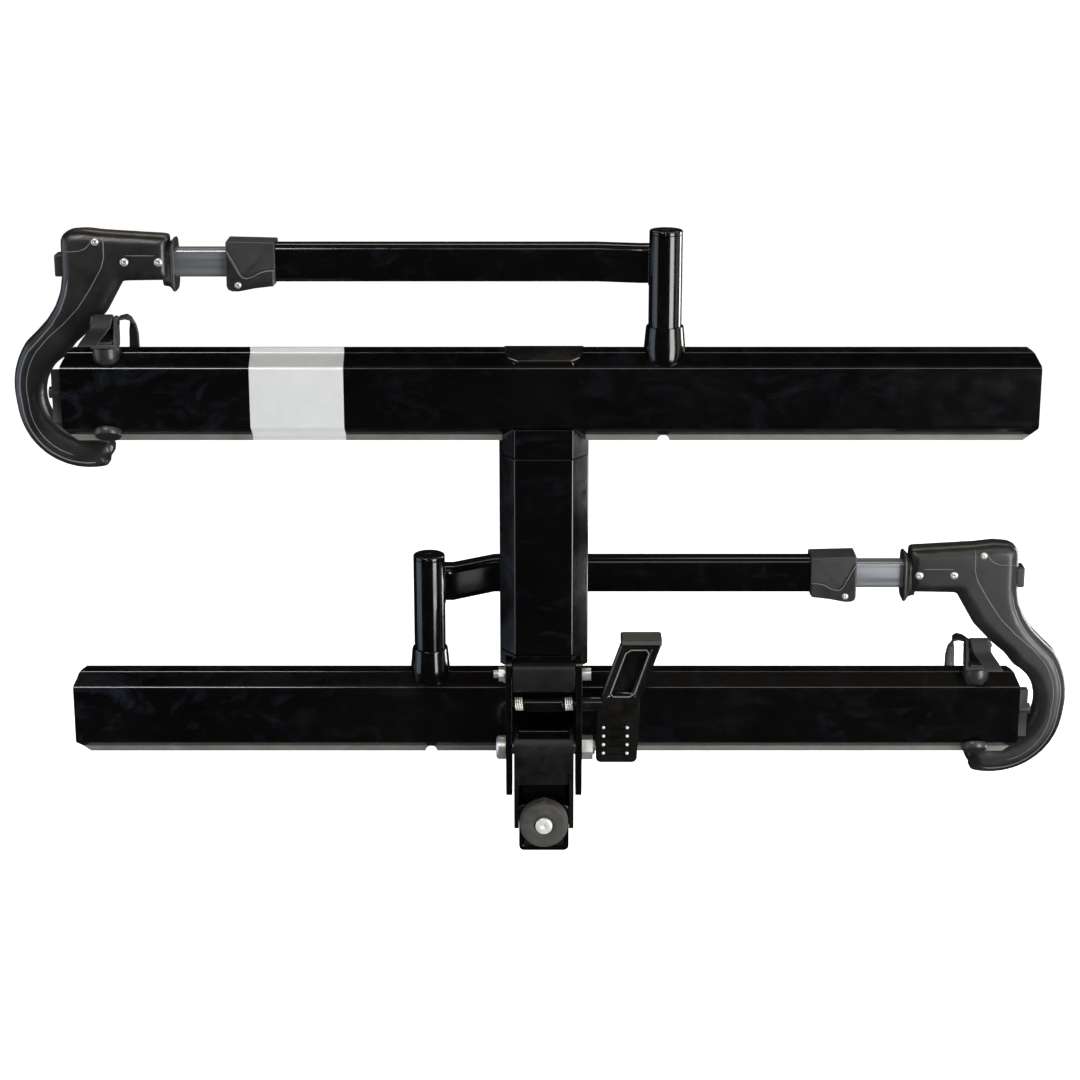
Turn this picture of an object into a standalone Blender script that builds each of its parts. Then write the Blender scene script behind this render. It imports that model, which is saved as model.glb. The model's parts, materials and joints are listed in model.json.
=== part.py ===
"""Hitch mounted bike rack, folded up against the vehicle, as separate solid pieces.

Lengths below are millimetres in a working frame: X across the vehicle, Y towards the vehicle,
Z up, with the tilt pivot at Z = 0 and the front face of the spine at Y = 0.  Every mesh is
written in metres, moved so that the origin lies under the hitch pin hole of the stinger.
"""
import math

import bmesh
import bpy
import numpy as np

for old in list(bpy.data.objects):
    bpy.data.objects.remove(old, do_unlink=True)

# ---------------------------------------------------------------- driving dimensions (mm)
GAP = 0.35                      # running gap between neighbouring pieces

TUBE = 50.8                     # 2 inch receiver stinger, square
TUBE_WALL = 4.8
TUBE_Z = -78.3                  # middle of the stinger below the pivot
TUBE_FRONT = -18.0
TUBE_LENGTH = 300.0
PIN_BACK = 222.0                # hitch pin hole behind the front end of the stinger
PIN_R = 8.2

PIVOT_Y = 6.0
BRACKET_R = 22.0                # rounded top of the bracket around the pivot
BRACKET_PLATE = 4.6
BRACKET_HALF = TUBE / 2 + GAP + BRACKET_PLATE
CHEEK_IN = 32.3
CHEEK_OUT = 38.5

SPINE_HALF = 44.6
SPINE_FLAT = 28.7               # half width of the front flat
SPINE_CHAMFER = 21.0            # depth of the chamfers
SPINE_DEPTH = 50.0
SPINE_WALL = 3.0
SPINE_BOTTOM = 101.6
SEAM_TOP = 307.7
CAP_BASE = 401.0
CAP_HALF = 40.4                 # half width of the cap behind its front chamfers

TRAY_Z = {"outer": 370.0, "inner": 17.0}
TRAY_Y = {"outer": 0.0, "inner": SPINE_DEPTH + GAP}
SIDE = {"outer": -1.0, "inner": 1.0}        # the side on which strap and hook sit
TRAY_LENGTH = {"outer": 960.0, "inner": 984.0}
TRAY_SHIFT = {"outer": 6.5, "inner": 3.0}    # each tray sits this much to +X of the spine
TRAY_FLOOR = 59.5
TRAY_LIP_IN = 83.0              # across the ends of the sloped walls
TRAY_WIDTH = 94.5
TRAY_RISE = 17.0
TRAY_SHEET = 3.0
TRAY_CORNER = 28.0              # how far the walls are cut back at the ends

POST_X = 118.4
POST_R = 16.3
POST_Y = 20.0                   # post axis behind the tray floor
POST_TOP = {"outer": 163.5, "inner": 169.5}  # above the tray middle
ARM_UP = {"outer": 127.0, "inner": 133.5}    # arm axis above the tray middle
ARM_Y = 40.0                    # arm axis behind the tray floor
ARM_JOG = {"outer": 8.0, "inner": 27.0}      # how far the tube steps back from its post
ARM_H = 38.0
ARM_D = 25.0
ARM_WALL = 2.2
ARM_END = {"outer": 297.5, "inner": 314.0}
COLLAR_IN = -34.0               # both from the end of the outer tube
COLLAR_OUT = 14.0
BAR_H = 28.0
BAR_D = 19.4
BAR_WALL = 2.0
BAR_LENGTH = 350.0

FLANGE_U = {"outer": 370.5, "inner": 386.5}  # hook flange from the spine's middle
HOOK_SCALE = {"outer": (0.994, 0.98), "inner": (1.08, 1.045)}   # outward and upward
HOOK_UP = 2.5                   # hook, rivets and button above the arm axis
RIVETS_U = (6.8, 40.5)          # from the flange, before scaling
HOOK_T = 34.0                   # hook thickness

STRAP_IN = 44.5                 # strap line inboard of the tray end
STRAP_W = 18.0

LATCH_Y = -4.0
LATCH_Z = 51.5
LATCH_R = 4.0

ROD_UP = 9.9                    # draw rod above the middle of the stinger
KNOB_R = 24.5
FOOT_BOLT_Y = 10.0
FOOT_BOLT_Z = 78.2
LEVER_X = (52.9, 94.6)
LEVER_TOP_X = (77.5, 118.5)
LEVER_Y = (-9.0, 1.0)
LEVER_LOW = -10.7
LEVER_KNEE = 58.0
LEVER_HIGH = 117.0
PUCK_UP = 4.0                   # button centre above the middle of the sloped wall
BUCKLE_PIN = (12.0, 73.0)
COLLAR_PIN = (2.5, -20.3)       # from the end of the outer tube, and above the arm axis
HOOK_OUTER = ((75.8, -129.9), 82.7)     # circle of the back of the hook: centre, radius
HOOK_INNER = ((83.3, -138.7), 45.6)     # circle of the throat

ORIGIN = np.array([0.0, TUBE_FRONT + PIN_BACK, TUBE_Z - TUBE / 2])

# ---------------------------------------------------------------- materials
PAINT = {
    "gloss_black_steel": ((0.012, 0.012, 0.014), 0.0, 0.18),
    "matte_black_steel": ((0.03, 0.03, 0.03), 0.0, 0.6),
    "aluminium_bar": ((0.55, 0.58, 0.62), 1.0, 0.35),
    "zinc_steel": ((0.7, 0.7, 0.68), 1.0, 0.3),
    "grey_plastic": ((0.07, 0.07, 0.07), 0.0, 0.55),
    "grip_rubber": ((0.06, 0.058, 0.05), 0.0, 0.75),
    "silver_hub": ((0.8, 0.8, 0.78), 0.3, 0.3),
}


def material(kind, piece):
    colour, metallic, rough = PAINT[kind]
    mat = bpy.data.materials.new(kind + "." + piece)
    mat.use_nodes = True
    shader = mat.node_tree.nodes["Principled BSDF"]
    shader.inputs["Base Color"].default_value = (*colour, 1.0)
    shader.inputs["Metallic"].default_value = metallic
    shader.inputs["Roughness"].default_value = rough
    return mat


# ---------------------------------------------------------------- mesh tools
def to_object(name, bm, pivot=None):
    """Turn a bmesh in working millimetres into an object in metres, origin at pivot."""
    bmesh.ops.remove_doubles(bm, verts=bm.verts, dist=1e-4)
    bmesh.ops.recalc_face_normals(bm, faces=bm.faces)
    base = ORIGIN if pivot is None else np.array(pivot)
    for vert in bm.verts:
        vert.co = [(vert.co[i] - base[i]) / 1000.0 for i in range(3)]
    mesh = bpy.data.meshes.new(name)
    bm.to_mesh(mesh)
    bm.free()
    obj = bpy.data.objects.new(name, mesh)
    obj.location = [(base[i] - ORIGIN[i]) / 1000.0 for i in range(3)]
    bpy.context.collection.objects.link(obj)
    return obj


def loft(name, rings, pivot=None, closed=False):
    """Skin through rings of equal length; closed joins the last ring to the first."""
    bm = bmesh.new()
    rows = [[bm.verts.new(point) for point in ring] for ring in rings]
    count = len(rows[0])
    last = len(rows) if closed else len(rows) - 1
    for i in range(last):
        low, high = rows[i], rows[(i + 1) % len(rows)]
        for j in range(count):
            k = (j + 1) % count
            bm.faces.new((low[j], low[k], high[k], high[j]))
    if not closed:
        bm.faces.new(rows[0])
        bm.faces.new(list(reversed(rows[-1])))
    return to_object(name, bm, pivot)


def place(axis, a, b, c):
    """Point with a, b across the axis and c along it: x -> (c,a,b), y -> (a,c,b), z -> (a,b,c)."""
    return {"x": (c, a, b), "y": (a, c, b), "z": (a, b, c)}[axis]


def extrude(name, outline, axis, low, high, pivot=None):
    rings = [[place(axis, a, b, c) for a, b in outline] for c in (low, high)]
    return loft(name, rings, pivot)


def block(name, x, y, z, pivot=None):
    outline = [(y[0], z[0]), (y[1], z[0]), (y[1], z[1]), (y[0], z[1])]
    return extrude(name, outline, "x", x[0], x[1], pivot)


def arc(centre, radius, start, end, steps):
    turn = [math.radians(start + (end - start) * i / steps) for i in range(steps + 1)]
    return [(centre[0] + radius * math.cos(t), centre[1] + radius * math.sin(t)) for t in turn]


def circle(centre, radius, sides):
    return arc(centre, radius, 0.0, 360.0 * (sides - 1) / sides, sides - 1)


def rounded(half_a, half_b, radius, steps=3, centre=(0.0, 0.0)):
    """Rounded rectangle, counter-clockwise."""
    points = []
    for sa, sb, start in ((1, 1, 0), (-1, 1, 90), (-1, -1, 180), (1, -1, 270)):
        corner = (centre[0] + sa * (half_a - radius), centre[1] + sb * (half_b - radius))
        points += arc(corner, radius, start, start + 90, steps)
    return points


def cylinder(name, axis, centre, radius, low, high, sides=24, pivot=None):
    return extrude(name, circle(centre, radius, sides), axis, low, high, pivot)


def revolve(name, axis, centre, profile, sides=32, pivot=None):
    """Solid of revolution through (radius, position along the axis)."""
    rings = []
    for radius, along in profile:
        ring = circle(centre, radius, sides)
        rings.append([place(axis, a, b, along) for a, b in ring])
    return loft(name, rings, pivot)


def pipe(name, axis, centre, outer, inner, low, high, sides=24, pivot=None):
    rings = []
    for radius, along in ((outer, low), (outer, high), (inner, high), (inner, low)):
        ring = circle(centre, radius, sides)
        rings.append([place(axis, a, b, along) for a, b in ring])
    return loft(name, rings, pivot, closed=True)


def bake(obj):
    """Replace an object's mesh by what its modifiers make of it."""
    scene = bpy.context.evaluated_depsgraph_get()
    mesh = bpy.data.meshes.new_from_object(obj.evaluated_get(scene))
    obj.modifiers.clear()
    obj.data = mesh
    return obj


def combine(obj, tool, operation):
    modifier = obj.modifiers.new(operation, "BOOLEAN")
    modifier.operation = operation
    modifier.solver = "EXACT"
    modifier.object = tool
    bpy.context.view_layer.update()
    bake(obj)
    bpy.data.objects.remove(tool, do_unlink=True)
    return obj


def cut(obj, tool):
    return combine(obj, tool, "DIFFERENCE")


def join(obj, tool):
    return combine(obj, tool, "UNION")


def soften(obj, width, segments=2, angle=40.0):
    modifier = obj.modifiers.new("soften", "BEVEL")
    modifier.width = width / 1000.0
    modifier.segments = segments
    modifier.limit_method = "ANGLE"
    modifier.angle_limit = math.radians(angle)
    bpy.context.view_layer.update()
    return bake(obj)


def finish(obj, kind, smooth=True):
    obj.data.materials.clear()
    obj.data.materials.append(material(kind, obj.name))
    for face in obj.data.polygons:
        face.use_smooth = smooth
        face.material_index = 0
    if smooth:
        obj.data.set_sharp_from_angle(angle=math.radians(35))
    return obj


# ---------------------------------------------------------------- stinger and its bracket
def stinger_tube():
    inner = TUBE / 2 - TUBE_WALL
    rings = []
    back = TUBE_FRONT + TUBE_LENGTH
    slope = 14.0
    for half, radius, y in ((TUBE / 2, 5.0, TUBE_FRONT), (TUBE / 2, 5.0, back),
                            (inner, 2.0, back), (inner, 2.0, TUBE_FRONT)):
        ring = []
        for a, b in rounded(half, half, radius, 3):
            lean = slope * b / TUBE * 2 if y == back else 0.0
            ring.append((a, y - lean, TUBE_Z + b))
        rings.append(ring)
    tube = loft("stinger_tube", rings, closed=True)
    pin_y = TUBE_FRONT + PIN_BACK
    cut(tube, cylinder("pin_hole", "x", (pin_y, TUBE_Z), PIN_R, -TUBE, TUBE, 24))
    finish(tube, "gloss_black_steel")


def stinger_end_plate():
    half = TUBE / 2 - TUBE_WALL - GAP
    outline = rounded(half, half, 1.8, 2, (0.0, TUBE_Z))
    plate = extrude("stinger_end_plate", outline, "y", TUBE_FRONT + 1, TUBE_FRONT + 7)
    cut(plate, cylinder("rod_hole", "y", (0.0, TUBE_Z + ROD_UP), 5.5, -60, 20, 20))
    finish(plate, "matte_black_steel")


def stinger_bracket():
    """Two side plates and the bent web in front of the pivot, all one piece."""
    front = PIVOT_Y - BRACKET_R
    low = TUBE_Z - 6.0
    side = arc((PIVOT_Y, 0.0), BRACKET_R, 30, 180, 14)
    side += [(front, low + 9), (front + 9, low), (75.0, low), (75.0, TUBE_Z + TUBE / 2 + 8)]
    body = extrude("stinger_bracket", side, "x", -BRACKET_HALF, BRACKET_HALF)
    inside = BRACKET_HALF - BRACKET_PLATE
    r_in = BRACKET_R - BRACKET_PLATE
    web = arc((PIVOT_Y, 0.0), r_in, 90, 180, 8)
    room = [(90.0, 60.0), (PIVOT_Y, 60.0)] + web + [(PIVOT_Y - r_in, -20.0)]
    room += [(front - 20, -20.0), (front - 20, -140.0), (90.0, -140.0)]
    cut(body, extrude("room", room, "x", -inside, inside))
    cut(body, block("web_top", (-inside, inside), (-40, 90), (15.5, 60)))
    panel_y = (front + 2.2, front + 5.2)
    join(body, block("panel", (-inside - 1, inside + 1), panel_y, (-33.0, -19.0)))
    cut(body, cylinder("pivot_hole", "x", (PIVOT_Y, 0.0), 7.5, -60, 60, 24))
    finish(body, "matte_black_steel")


def stop_bar():
    half = TUBE / 2
    bar = cylinder("stop_bar", "x", (2.0, 18.2), 3.6, -half, half, 16)
    finish(bar, "gloss_black_steel")


def draw_rod():
    centre = (0.0, TUBE_Z + ROD_UP)
    rod = cylinder("draw_rod", "y", centre, 5.0, TUBE_FRONT - 12, TUBE_FRONT + TUBE_LENGTH + 22, 20)
    finish(rod, "zinc_steel")


def knob():
    centre = (0.0, TUBE_Z + ROD_UP)
    back = TUBE_FRONT - 1.0
    profile = [(KNOB_R - 2, back), (KNOB_R, back - 2), (KNOB_R, back - 12.5), (KNOB_R - 1.2, back - 14.6),
               (KNOB_R - 3.6, back - 15.6), (15.0, back - 16.2)]
    grip = revolve("knob", "y", centre, profile, 28)
    cut(grip, cylinder("hub_pocket", "y", centre, 9.0, back - 30, back - 12.5, 24))
    cut(grip, cylinder("rod_pocket", "y", centre, 5.0 + GAP, back - 30, back + 10, 20))
    finish(grip, "grip_rubber")
    hub = revolve("knob_hub", "y", centre, [(8.6, back - 12.9), (8.6, back - 17.2), (7.8, back - 17.8)], 24)
    cut(hub, cylinder("hub_socket", "y", centre, 1.9, back - 30, back - 15.5, 6))
    finish(hub, "silver_hub")


def cam_wedge():
    half = TUBE / 2 - TUBE_WALL
    back = TUBE_FRONT + TUBE_LENGTH
    slope = 14.0 / TUBE * 2
    side = [(back + 0.8 - slope * half, half), (back + 0.8 + slope * half, -half)]
    side += [(back + 40, -half), (back + 40, half)]
    outline = [(y, TUBE_Z + z) for y, z in side]
    wedge = extrude("cam_wedge", outline, "x", -half, half)
    cut(wedge, cylinder("wedge_hole", "y", (0.0, TUBE_Z + ROD_UP), 5.0 + GAP, back - 40, back + 60, 20))
    soften(wedge, 1.2, 1)
    finish(wedge, "zinc_steel")


def hex_outline(centre, across):
    return circle(centre, across / math.sqrt(3.0), 6)


def pivot_set():
    centre = (PIVOT_Y, 0.0)
    out = CHEEK_OUT + GAP
    bolt = cylinder("pivot_bolt", "x", centre, 7.0, -out - 1, 52.0, 24)
    head = revolve("head", "x", centre, [(12.0, -out), (12.0, -out - 7.5), (10.0, -out - 9.8)], 32)
    join(bolt, head)
    finish(bolt, "zinc_steel")
    nut = extrude("pivot_nut", hex_outline(centre, 21.5), "x", out, out + 11.0)
    cut(nut, cylinder("bore", "x", centre, 7.0 + GAP, 0, 90, 24))
    finish(nut, "zinc_steel")


# ---------------------------------------------------------------- spine
def octagon(inset=0.0, front=0.0):
    """Spine section as (x, y), counter-clockwise; front moves the front flat back."""
    half = SPINE_HALF - inset
    flat = SPINE_FLAT - inset * 0.45
    low = max(inset, front)
    wide = flat + (low - inset) * (half - flat) / (SPINE_CHAMFER - inset * 0.55)
    a = SPINE_CHAMFER + inset * 0.45
    back = SPINE_DEPTH - inset
    return [(-wide, low), (wide, low), (half, a), (half, SPINE_DEPTH - a), (flat, back),
            (-flat, back), (-half, SPINE_DEPTH - a), (-half, a)]


def ring_at(outline, z):
    return [(x, y, z) for x, y in outline]


def spine_tube():
    inner = octagon(SPINE_WALL)
    rings = [ring_at(octagon(), SPINE_BOTTOM), ring_at(octagon(), SEAM_TOP)]
    rings += [ring_at(inner, SEAM_TOP), ring_at(inner, SPINE_BOTTOM)]
    tube = loft("spine_tube", rings, closed=True)
    finish(tube, "gloss_black_steel")


def spine_adapter():
    """Carries the outer tray: full section below it, notched behind the tray floor."""
    z_tray = TRAY_Z["outer"] - TRAY_FLOOR / 2
    front = TRAY_SHEET + GAP
    body = loft("spine_adapter", [ring_at(octagon(), SEAM_TOP + GAP), ring_at(octagon(), CAP_BASE - GAP)])
    cut(body, block("notch", (-80, 80), (-20, front), (z_tray - 2.7, 500)))
    inside = octagon(SPINE_WALL + GAP)
    plug = loft("plug", [ring_at(inside, SEAM_TOP - 40), ring_at(inside, SEAM_TOP + 5)])
    join(body, plug)
    core = [ring_at(octagon(SPINE_WALL + 3.5), SEAM_TOP - 60), ring_at(octagon(SPINE_WALL + 3.5), CAP_BASE + 20)]
    cut(body, loft("core", core))
    finish(body, "gloss_black_steel")


def spine_end_cap():
    """Sloping cap: low at the front, high at the back, with a rounded rim and a plug inside."""
    front = TRAY_SHEET + GAP
    rings = []
    for inset, up in ((0.0, 0.0), (0.0, 2.0), (1.2, 4.0), (4.0, 5.0)):
        flat, half = SPINE_FLAT - inset, CAP_HALF - inset
        near, back = max(front, inset), SPINE_DEPTH - 3.0 - inset
        outline = [(-flat, near), (flat, near), (half, near + 13.0)]
        outline += [(half, back), (-half, back), (-half, near + 13.0)]
        rings.append([(x, y, CAP_BASE + up + (0.16 * y if up > 0 else 0.0)) for x, y in outline])
    cap = loft("spine_end_cap", rings)
    inner = octagon(SPINE_WALL + 3.5 + GAP, SPINE_WALL + 4 + GAP)
    join(cap, loft("plug", [ring_at(inner, CAP_BASE - 14), ring_at(inner, CAP_BASE + 2)]))
    finish(cap, "gloss_black_steel")


def spine_foot():
    """Casting that closes the spine and sits between the cheeks."""
    top = SPINE_BOTTOM - GAP
    body = loft("spine_foot", [ring_at(octagon(), top - 15), ring_at(octagon(), top)])
    join(body, block("tongue", (-CHEEK_IN + GAP, CHEEK_IN - GAP), (1.0, 47.0), (62.0, top - 2)))
    inner = octagon(SPINE_WALL + GAP)
    join(body, loft("plug", [ring_at(inner, top - 4), ring_at(inner, top + 34)]))
    for side in (-1, 1):
        reach = sorted((side * (CHEEK_IN - GAP), side * (CHEEK_OUT + GAP)))
        cut(body, block("slot", reach, (-20, 47.0), (40, 97.6)))
    cut(body, cylinder("bolt_hole", "x", (FOOT_BOLT_Y, FOOT_BOLT_Z), 4.5, -60, 60, 20))
    finish(body, "gloss_black_steel")


def cheek(name, side):
    """Side plate, edge on to the front: holds spine foot, latch shaft and pivot bolt."""
    outline = arc((PIVOT_Y, -28.0), 23.0, 180, 360, 10)
    outline += [(PIVOT_Y + 23.0, 30.0), (46.0, 62.0), (46.0, 91.0), (40.0, 97.0)]
    outline += [(-2.0, 97.0), (-8.0, 91.0), (-17.0, 60.0)]
    low, high = sorted((side * CHEEK_IN, side * CHEEK_OUT))
    plate = extrude(name, outline, "x", low, high)
    for y, z, radius in ((PIVOT_Y, 0.0, 7.0), (LATCH_Y, LATCH_Z, LATCH_R), (FOOT_BOLT_Y, FOOT_BOLT_Z, 4.0)):
        cut(plate, cylinder("hole", "x", (y, z), radius + GAP, -60, 60, 16))
    finish(plate, "gloss_black_steel")


def hinge_cover():
    half = CHEEK_IN - 0.9
    outline = arc((-3.5, 73.0), 8.5, 180, 270, 5) + [(-0.4, 64.5), (-0.4, 95.0)] + arc((-7.0, 90.0), 5.0, 90, 180, 3)
    cover = extrude("hinge_cover", outline, "x", -half, half)
    finish(cover, "matte_black_steel")


def foot_bolt_set():
    centre = (FOOT_BOLT_Y, FOOT_BOLT_Z)
    out = CHEEK_OUT + GAP
    bolt = cylinder("foot_bolt", "x", centre, 4.0, -51.0, out + 1, 16)
    head = cylinder("head", "x", centre, 6.5, out, out + 9.0, 20)
    join(bolt, head)
    cut(bolt, extrude("socket", hex_outline(centre, 5.5), "x", out + 5.0, out + 20))
    finish(bolt, "zinc_steel")
    nut = extrude("foot_nut", hex_outline(centre, 13.0), "x", -out - 7.0, -out)
    join(nut, cylinder("washer", "x", centre, 9.0, -out - 2.0, -out, 20))
    cut(nut, cylinder("bore", "x", centre, 4.0 + GAP, -90, 0, 16))
    finish(nut, "zinc_steel")


# ---------------------------------------------------------------- latch and foot lever
def latch_shaft():
    pivot = (0.0, LATCH_Y, LATCH_Z)
    shaft = cylinder("latch_shaft", "x", (LATCH_Y, LATCH_Z), LATCH_R, -41.0, 97.0, 20, pivot)
    finish(shaft, "zinc_steel")
    roller = pipe("latch_roller", "x", (LATCH_Y, LATCH_Z), 7.6, LATCH_R + GAP, -19.5, 19.5, 28, pivot)
    finish(roller, "gloss_black_steel")


def latch_spring(name, low, high):
    turns, per_turn, sides = 4.0, 9, 5
    coil_r, wire = 6.2, 0.95
    steps = int(turns * per_turn)
    rings = []
    for i in range(steps + 1):
        t = 2 * math.pi * turns * i / steps
        x = low + wire + (high - low - 2 * wire) * i / steps
        ring = []
        for j in range(sides):
            a = 2 * math.pi * j / sides
            r = coil_r + wire * math.cos(a)
            ring.append((x + wire * math.sin(a), LATCH_Y + r * math.cos(t), LATCH_Z + r * math.sin(t)))
        rings.append(ring)
    finish(loft(name, rings, (0.0, LATCH_Y, LATCH_Z)), "zinc_steel")


def foot_lever():
    """Pad that hangs beside the cheek, a leaning frame above it and a tread on top."""
    pivot = (0.0, LATCH_Y, LATCH_Z)
    x0, x1 = LEVER_X
    t0, t1 = LEVER_TOP_X
    outline = [(x0, LEVER_LOW + 3), (x0 + 3, LEVER_LOW), (x1 - 3, LEVER_LOW), (x1, LEVER_LOW + 3),
               (x1 + 3.0, LEVER_KNEE), (t1, LEVER_HIGH), (t0, LEVER_HIGH), (x0 + 4.0, LEVER_KNEE), (x0, LEVER_KNEE - 6)]
    body = extrude("foot_lever", outline, "y", LEVER_Y[0], LEVER_Y[1], pivot)
    border = 6.0
    window = [(x0 + 7 + border, LEVER_KNEE + 3), (x1 - 1 - border / 2, LEVER_KNEE + 3),
              (t1 - border * 1.9, LEVER_HIGH - border), (t0 + border, LEVER_HIGH - border)]
    cut(body, extrude("window", window, "y", -40, LEVER_Y[1] - 2.0))
    soften(body, 1.5, 1)
    tread = rounded(20.5, 13.0, 3.0, 2, ((t0 + t1) / 2, 0.5))
    join(body, extrude("tread", tread, "z", LEVER_HIGH - 0.5, LEVER_HIGH + 5.5))
    join(body, cylinder("hub", "x", (LATCH_Y, LATCH_Z), 7.5, CHEEK_OUT + GAP + 0.8, x0 + 6, 16))
    for i in range(4):
        z = LEVER_LOW + 8.5 + 9.3 * i
        cut(body, block("groove", (x0 + 9, x1 - 9), (LEVER_Y[0] - 5, LEVER_Y[0] + 1.6), (z, z + 4.2)))
    cut(body, cylinder("bore", "x", (LATCH_Y, LATCH_Z), LATCH_R + GAP, 30, 120, 20))
    finish(body, "gloss_black_steel")


# ---------------------------------------------------------------- trays and what they carry
def tray_section(where):
    """Folded sheet as (y, z): floor in front, sloped walls, upright lips."""
    y0, z0 = TRAY_Y[where], TRAY_Z[where]
    half, lip, wide = TRAY_FLOOR / 2, TRAY_LIP_IN / 2, TRAY_WIDTH / 2
    t = TRAY_SHEET
    outer = [(TRAY_RISE, wide), (TRAY_RISE, lip), (0.0, half), (0.0, -half), (TRAY_RISE, -lip), (TRAY_RISE, -wide)]
    inner = [(TRAY_RISE + t, -wide), (TRAY_RISE + t, -lip + 1.6), (t, -half + 1.2), (t, half - 1.2),
             (TRAY_RISE + t, lip - 1.6), (TRAY_RISE + t, wide)]
    return [(y0 + y, z0 + z) for y, z in outer + inner]


def end_outline(where):
    """Front view of a tray with its walls cut back to a curve at both ends."""
    z0 = TRAY_Z[where]
    half_l, floor, wide = TRAY_LENGTH[where] / 2, TRAY_FLOOR / 2 - 0.4, TRAY_WIDTH / 2 + 0.01
    points = []
    for sx, sz in ((1, 1), (-1, 1), (-1, -1), (1, -1)):
        curve = []
        for i in range(7):
            t = math.radians(90.0 * i / 6)
            along = half_l - TRAY_CORNER * (1 - math.cos(t))
            curve.append((sx * along, sz * (floor + (wide + 4 - floor) * math.sin(t))))
        points += curve if sx * sz > 0 else list(reversed(curve))
    return [(x + TRAY_SHIFT[where], z0 + z) for x, z in points]


def tray(where):
    y0, z0 = TRAY_Y[where], TRAY_Z[where]
    low, high = (TRAY_SHIFT[where] + sign * TRAY_LENGTH[where] / 2 for sign in (-1, 1))
    body = extrude("tray_" + where, tray_section(where), "x", low - 0.2, high + 0.2)
    combine(body, extrude("ends", end_outline(where), "y", y0 - 10, y0 + 40), "INTERSECT")
    if where == "outer":
        gap = [(x * (1 + 0.5 / SPINE_HALF), y) for x, y in octagon(0.0, TRAY_SHEET + 0.15)]
        gap = [(x, y + 0.5 if y > 25 else y) for x, y in gap]
        cut(body, loft("spine_gap", [ring_at(gap, z0 - 80), ring_at(gap, z0 + 80)]))
    x = -SIDE[where] * POST_X
    profile = [(r + 0.4, z) for r, z in socket_profile(z0)]
    cut(body, revolve("socket_gap", "z", (x, y0 + POST_Y), profile, 24))
    cut(body, cylinder("notch", "y", (x, z0 - TRAY_WIDTH / 2 - 0.4), 6.0, y0 + 10, y0 + 40, 20))
    profile = [(r + 0.4, z) for r, z in bell_profile(z0)]
    u = strap_x(where)
    cut(body, revolve("bell_gap", "z", (u, y0 + 14.0), profile, 20))
    cut(body, puck("puck_gap", where, 4.4, 5.0))
    finish(body, "gloss_black_steel")


def socket_profile(z0):
    return [(15.0, z0 + 27.5), (18.2, z0 + 30.5), (19.6, z0 + 35.0), (20.2, z0 + 42.0), (20.25, z0 + 49.0),
            (18.7, z0 + 66.0), (18.3, z0 + 68.5)]


def arm_socket(where):
    z0 = TRAY_Z[where]
    centre = (-SIDE[where] * POST_X, TRAY_Y[where] + POST_Y)
    body = revolve("arm_socket_" + where, "z", centre, socket_profile(z0), 24)
    cut(body, cylinder("bore", "z", centre, POST_R + GAP, z0 + 38, z0 + 90, 24))
    finish(body, "gloss_black_steel")


def strap_x(where):
    side = SIDE[where]
    end = TRAY_SHIFT[where] + side * TRAY_LENGTH[where] / 2
    return end - side * STRAP_IN


def bell_profile(z0):
    return [(6.0, z0 + 29.5), (10.5, z0 + 31.5), (13.1, z0 + 36.0), (13.7, z0 + 41.0), (12.9, z0 + 48.8)]


def strap_bell(where):
    z0 = TRAY_Z[where]
    centre = (strap_x(where), TRAY_Y[where] + 14.0)
    finish(revolve("strap_bell_" + where, "z", centre, bell_profile(z0), 20), "grey_plastic")


def puck(name, where, stud_r, reach):
    """Button on the lower sloped wall with a stud through it; stud_r and reach size the stud."""
    y0, z0 = TRAY_Y[where], TRAY_Z[where]
    tilt = math.atan2((TRAY_LIP_IN - TRAY_FLOOR) / 2, TRAY_RISE)
    out = (-math.sin(tilt), -math.cos(tilt))
    along = (math.cos(tilt), -math.sin(tilt))
    seat_y = y0 + TRAY_RISE / 2 - PUCK_UP * along[0]
    seat_z = z0 - (TRAY_FLOOR + TRAY_LIP_IN) / 4 - PUCK_UP * along[1]
    steps = [(stud_r, -reach), (stud_r, 12.0)] if name == "puck_gap" else \
        [(stud_r, -reach), (stud_r, GAP), (13.4, GAP), (13.7, 4.0), (12.6, 7.5), (9.0, 8.6)]
    rings = []
    for radius, height in steps:
        ring = []
        for a, b in circle((0.0, 0.0), radius, 20):
            y = seat_y + out[0] * height + along[0] * b
            z = seat_z + out[1] * height + along[1] * b
            ring.append((strap_x(where) + a, y, z))
        rings.append(ring)
    return loft(name, rings)


# Strap line as (inboard, back, up, turn of its width away from the tray's length, in degrees): out of the
# buckle, over in a hoop to the inboard side, down behind the tray wall and back to the button in the trough.
STRAP_LINE = (
    (0.0, -5.0, 56.0, 0), (0.0, 8.0, 57.5, 0), (0.2, 19.0, 59.5, 0), (2.2, 26.5, 64.0, 45), (6.5, 30.5, 69.5, 78),
    (12.0, 31.0, 74.0, 90), (18.0, 31.0, 75.2, 90), (22.2, 31.6, 73.0, 78), (24.2, 32.0, 67.6, 64),
    (24.6, 32.0, 59.0, 54), (24.6, 32.0, 46.0, 52), (23.8, 32.0, 28.0, 50), (20.5, 31.0, 10.0, 46),
    (15.0, 28.6, -6.0, 40), (8.5, 25.2, -19.0, 26), (3.0, 22.4, -28.5, 10), (0.0, 20.5, -33.6, 0))


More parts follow.
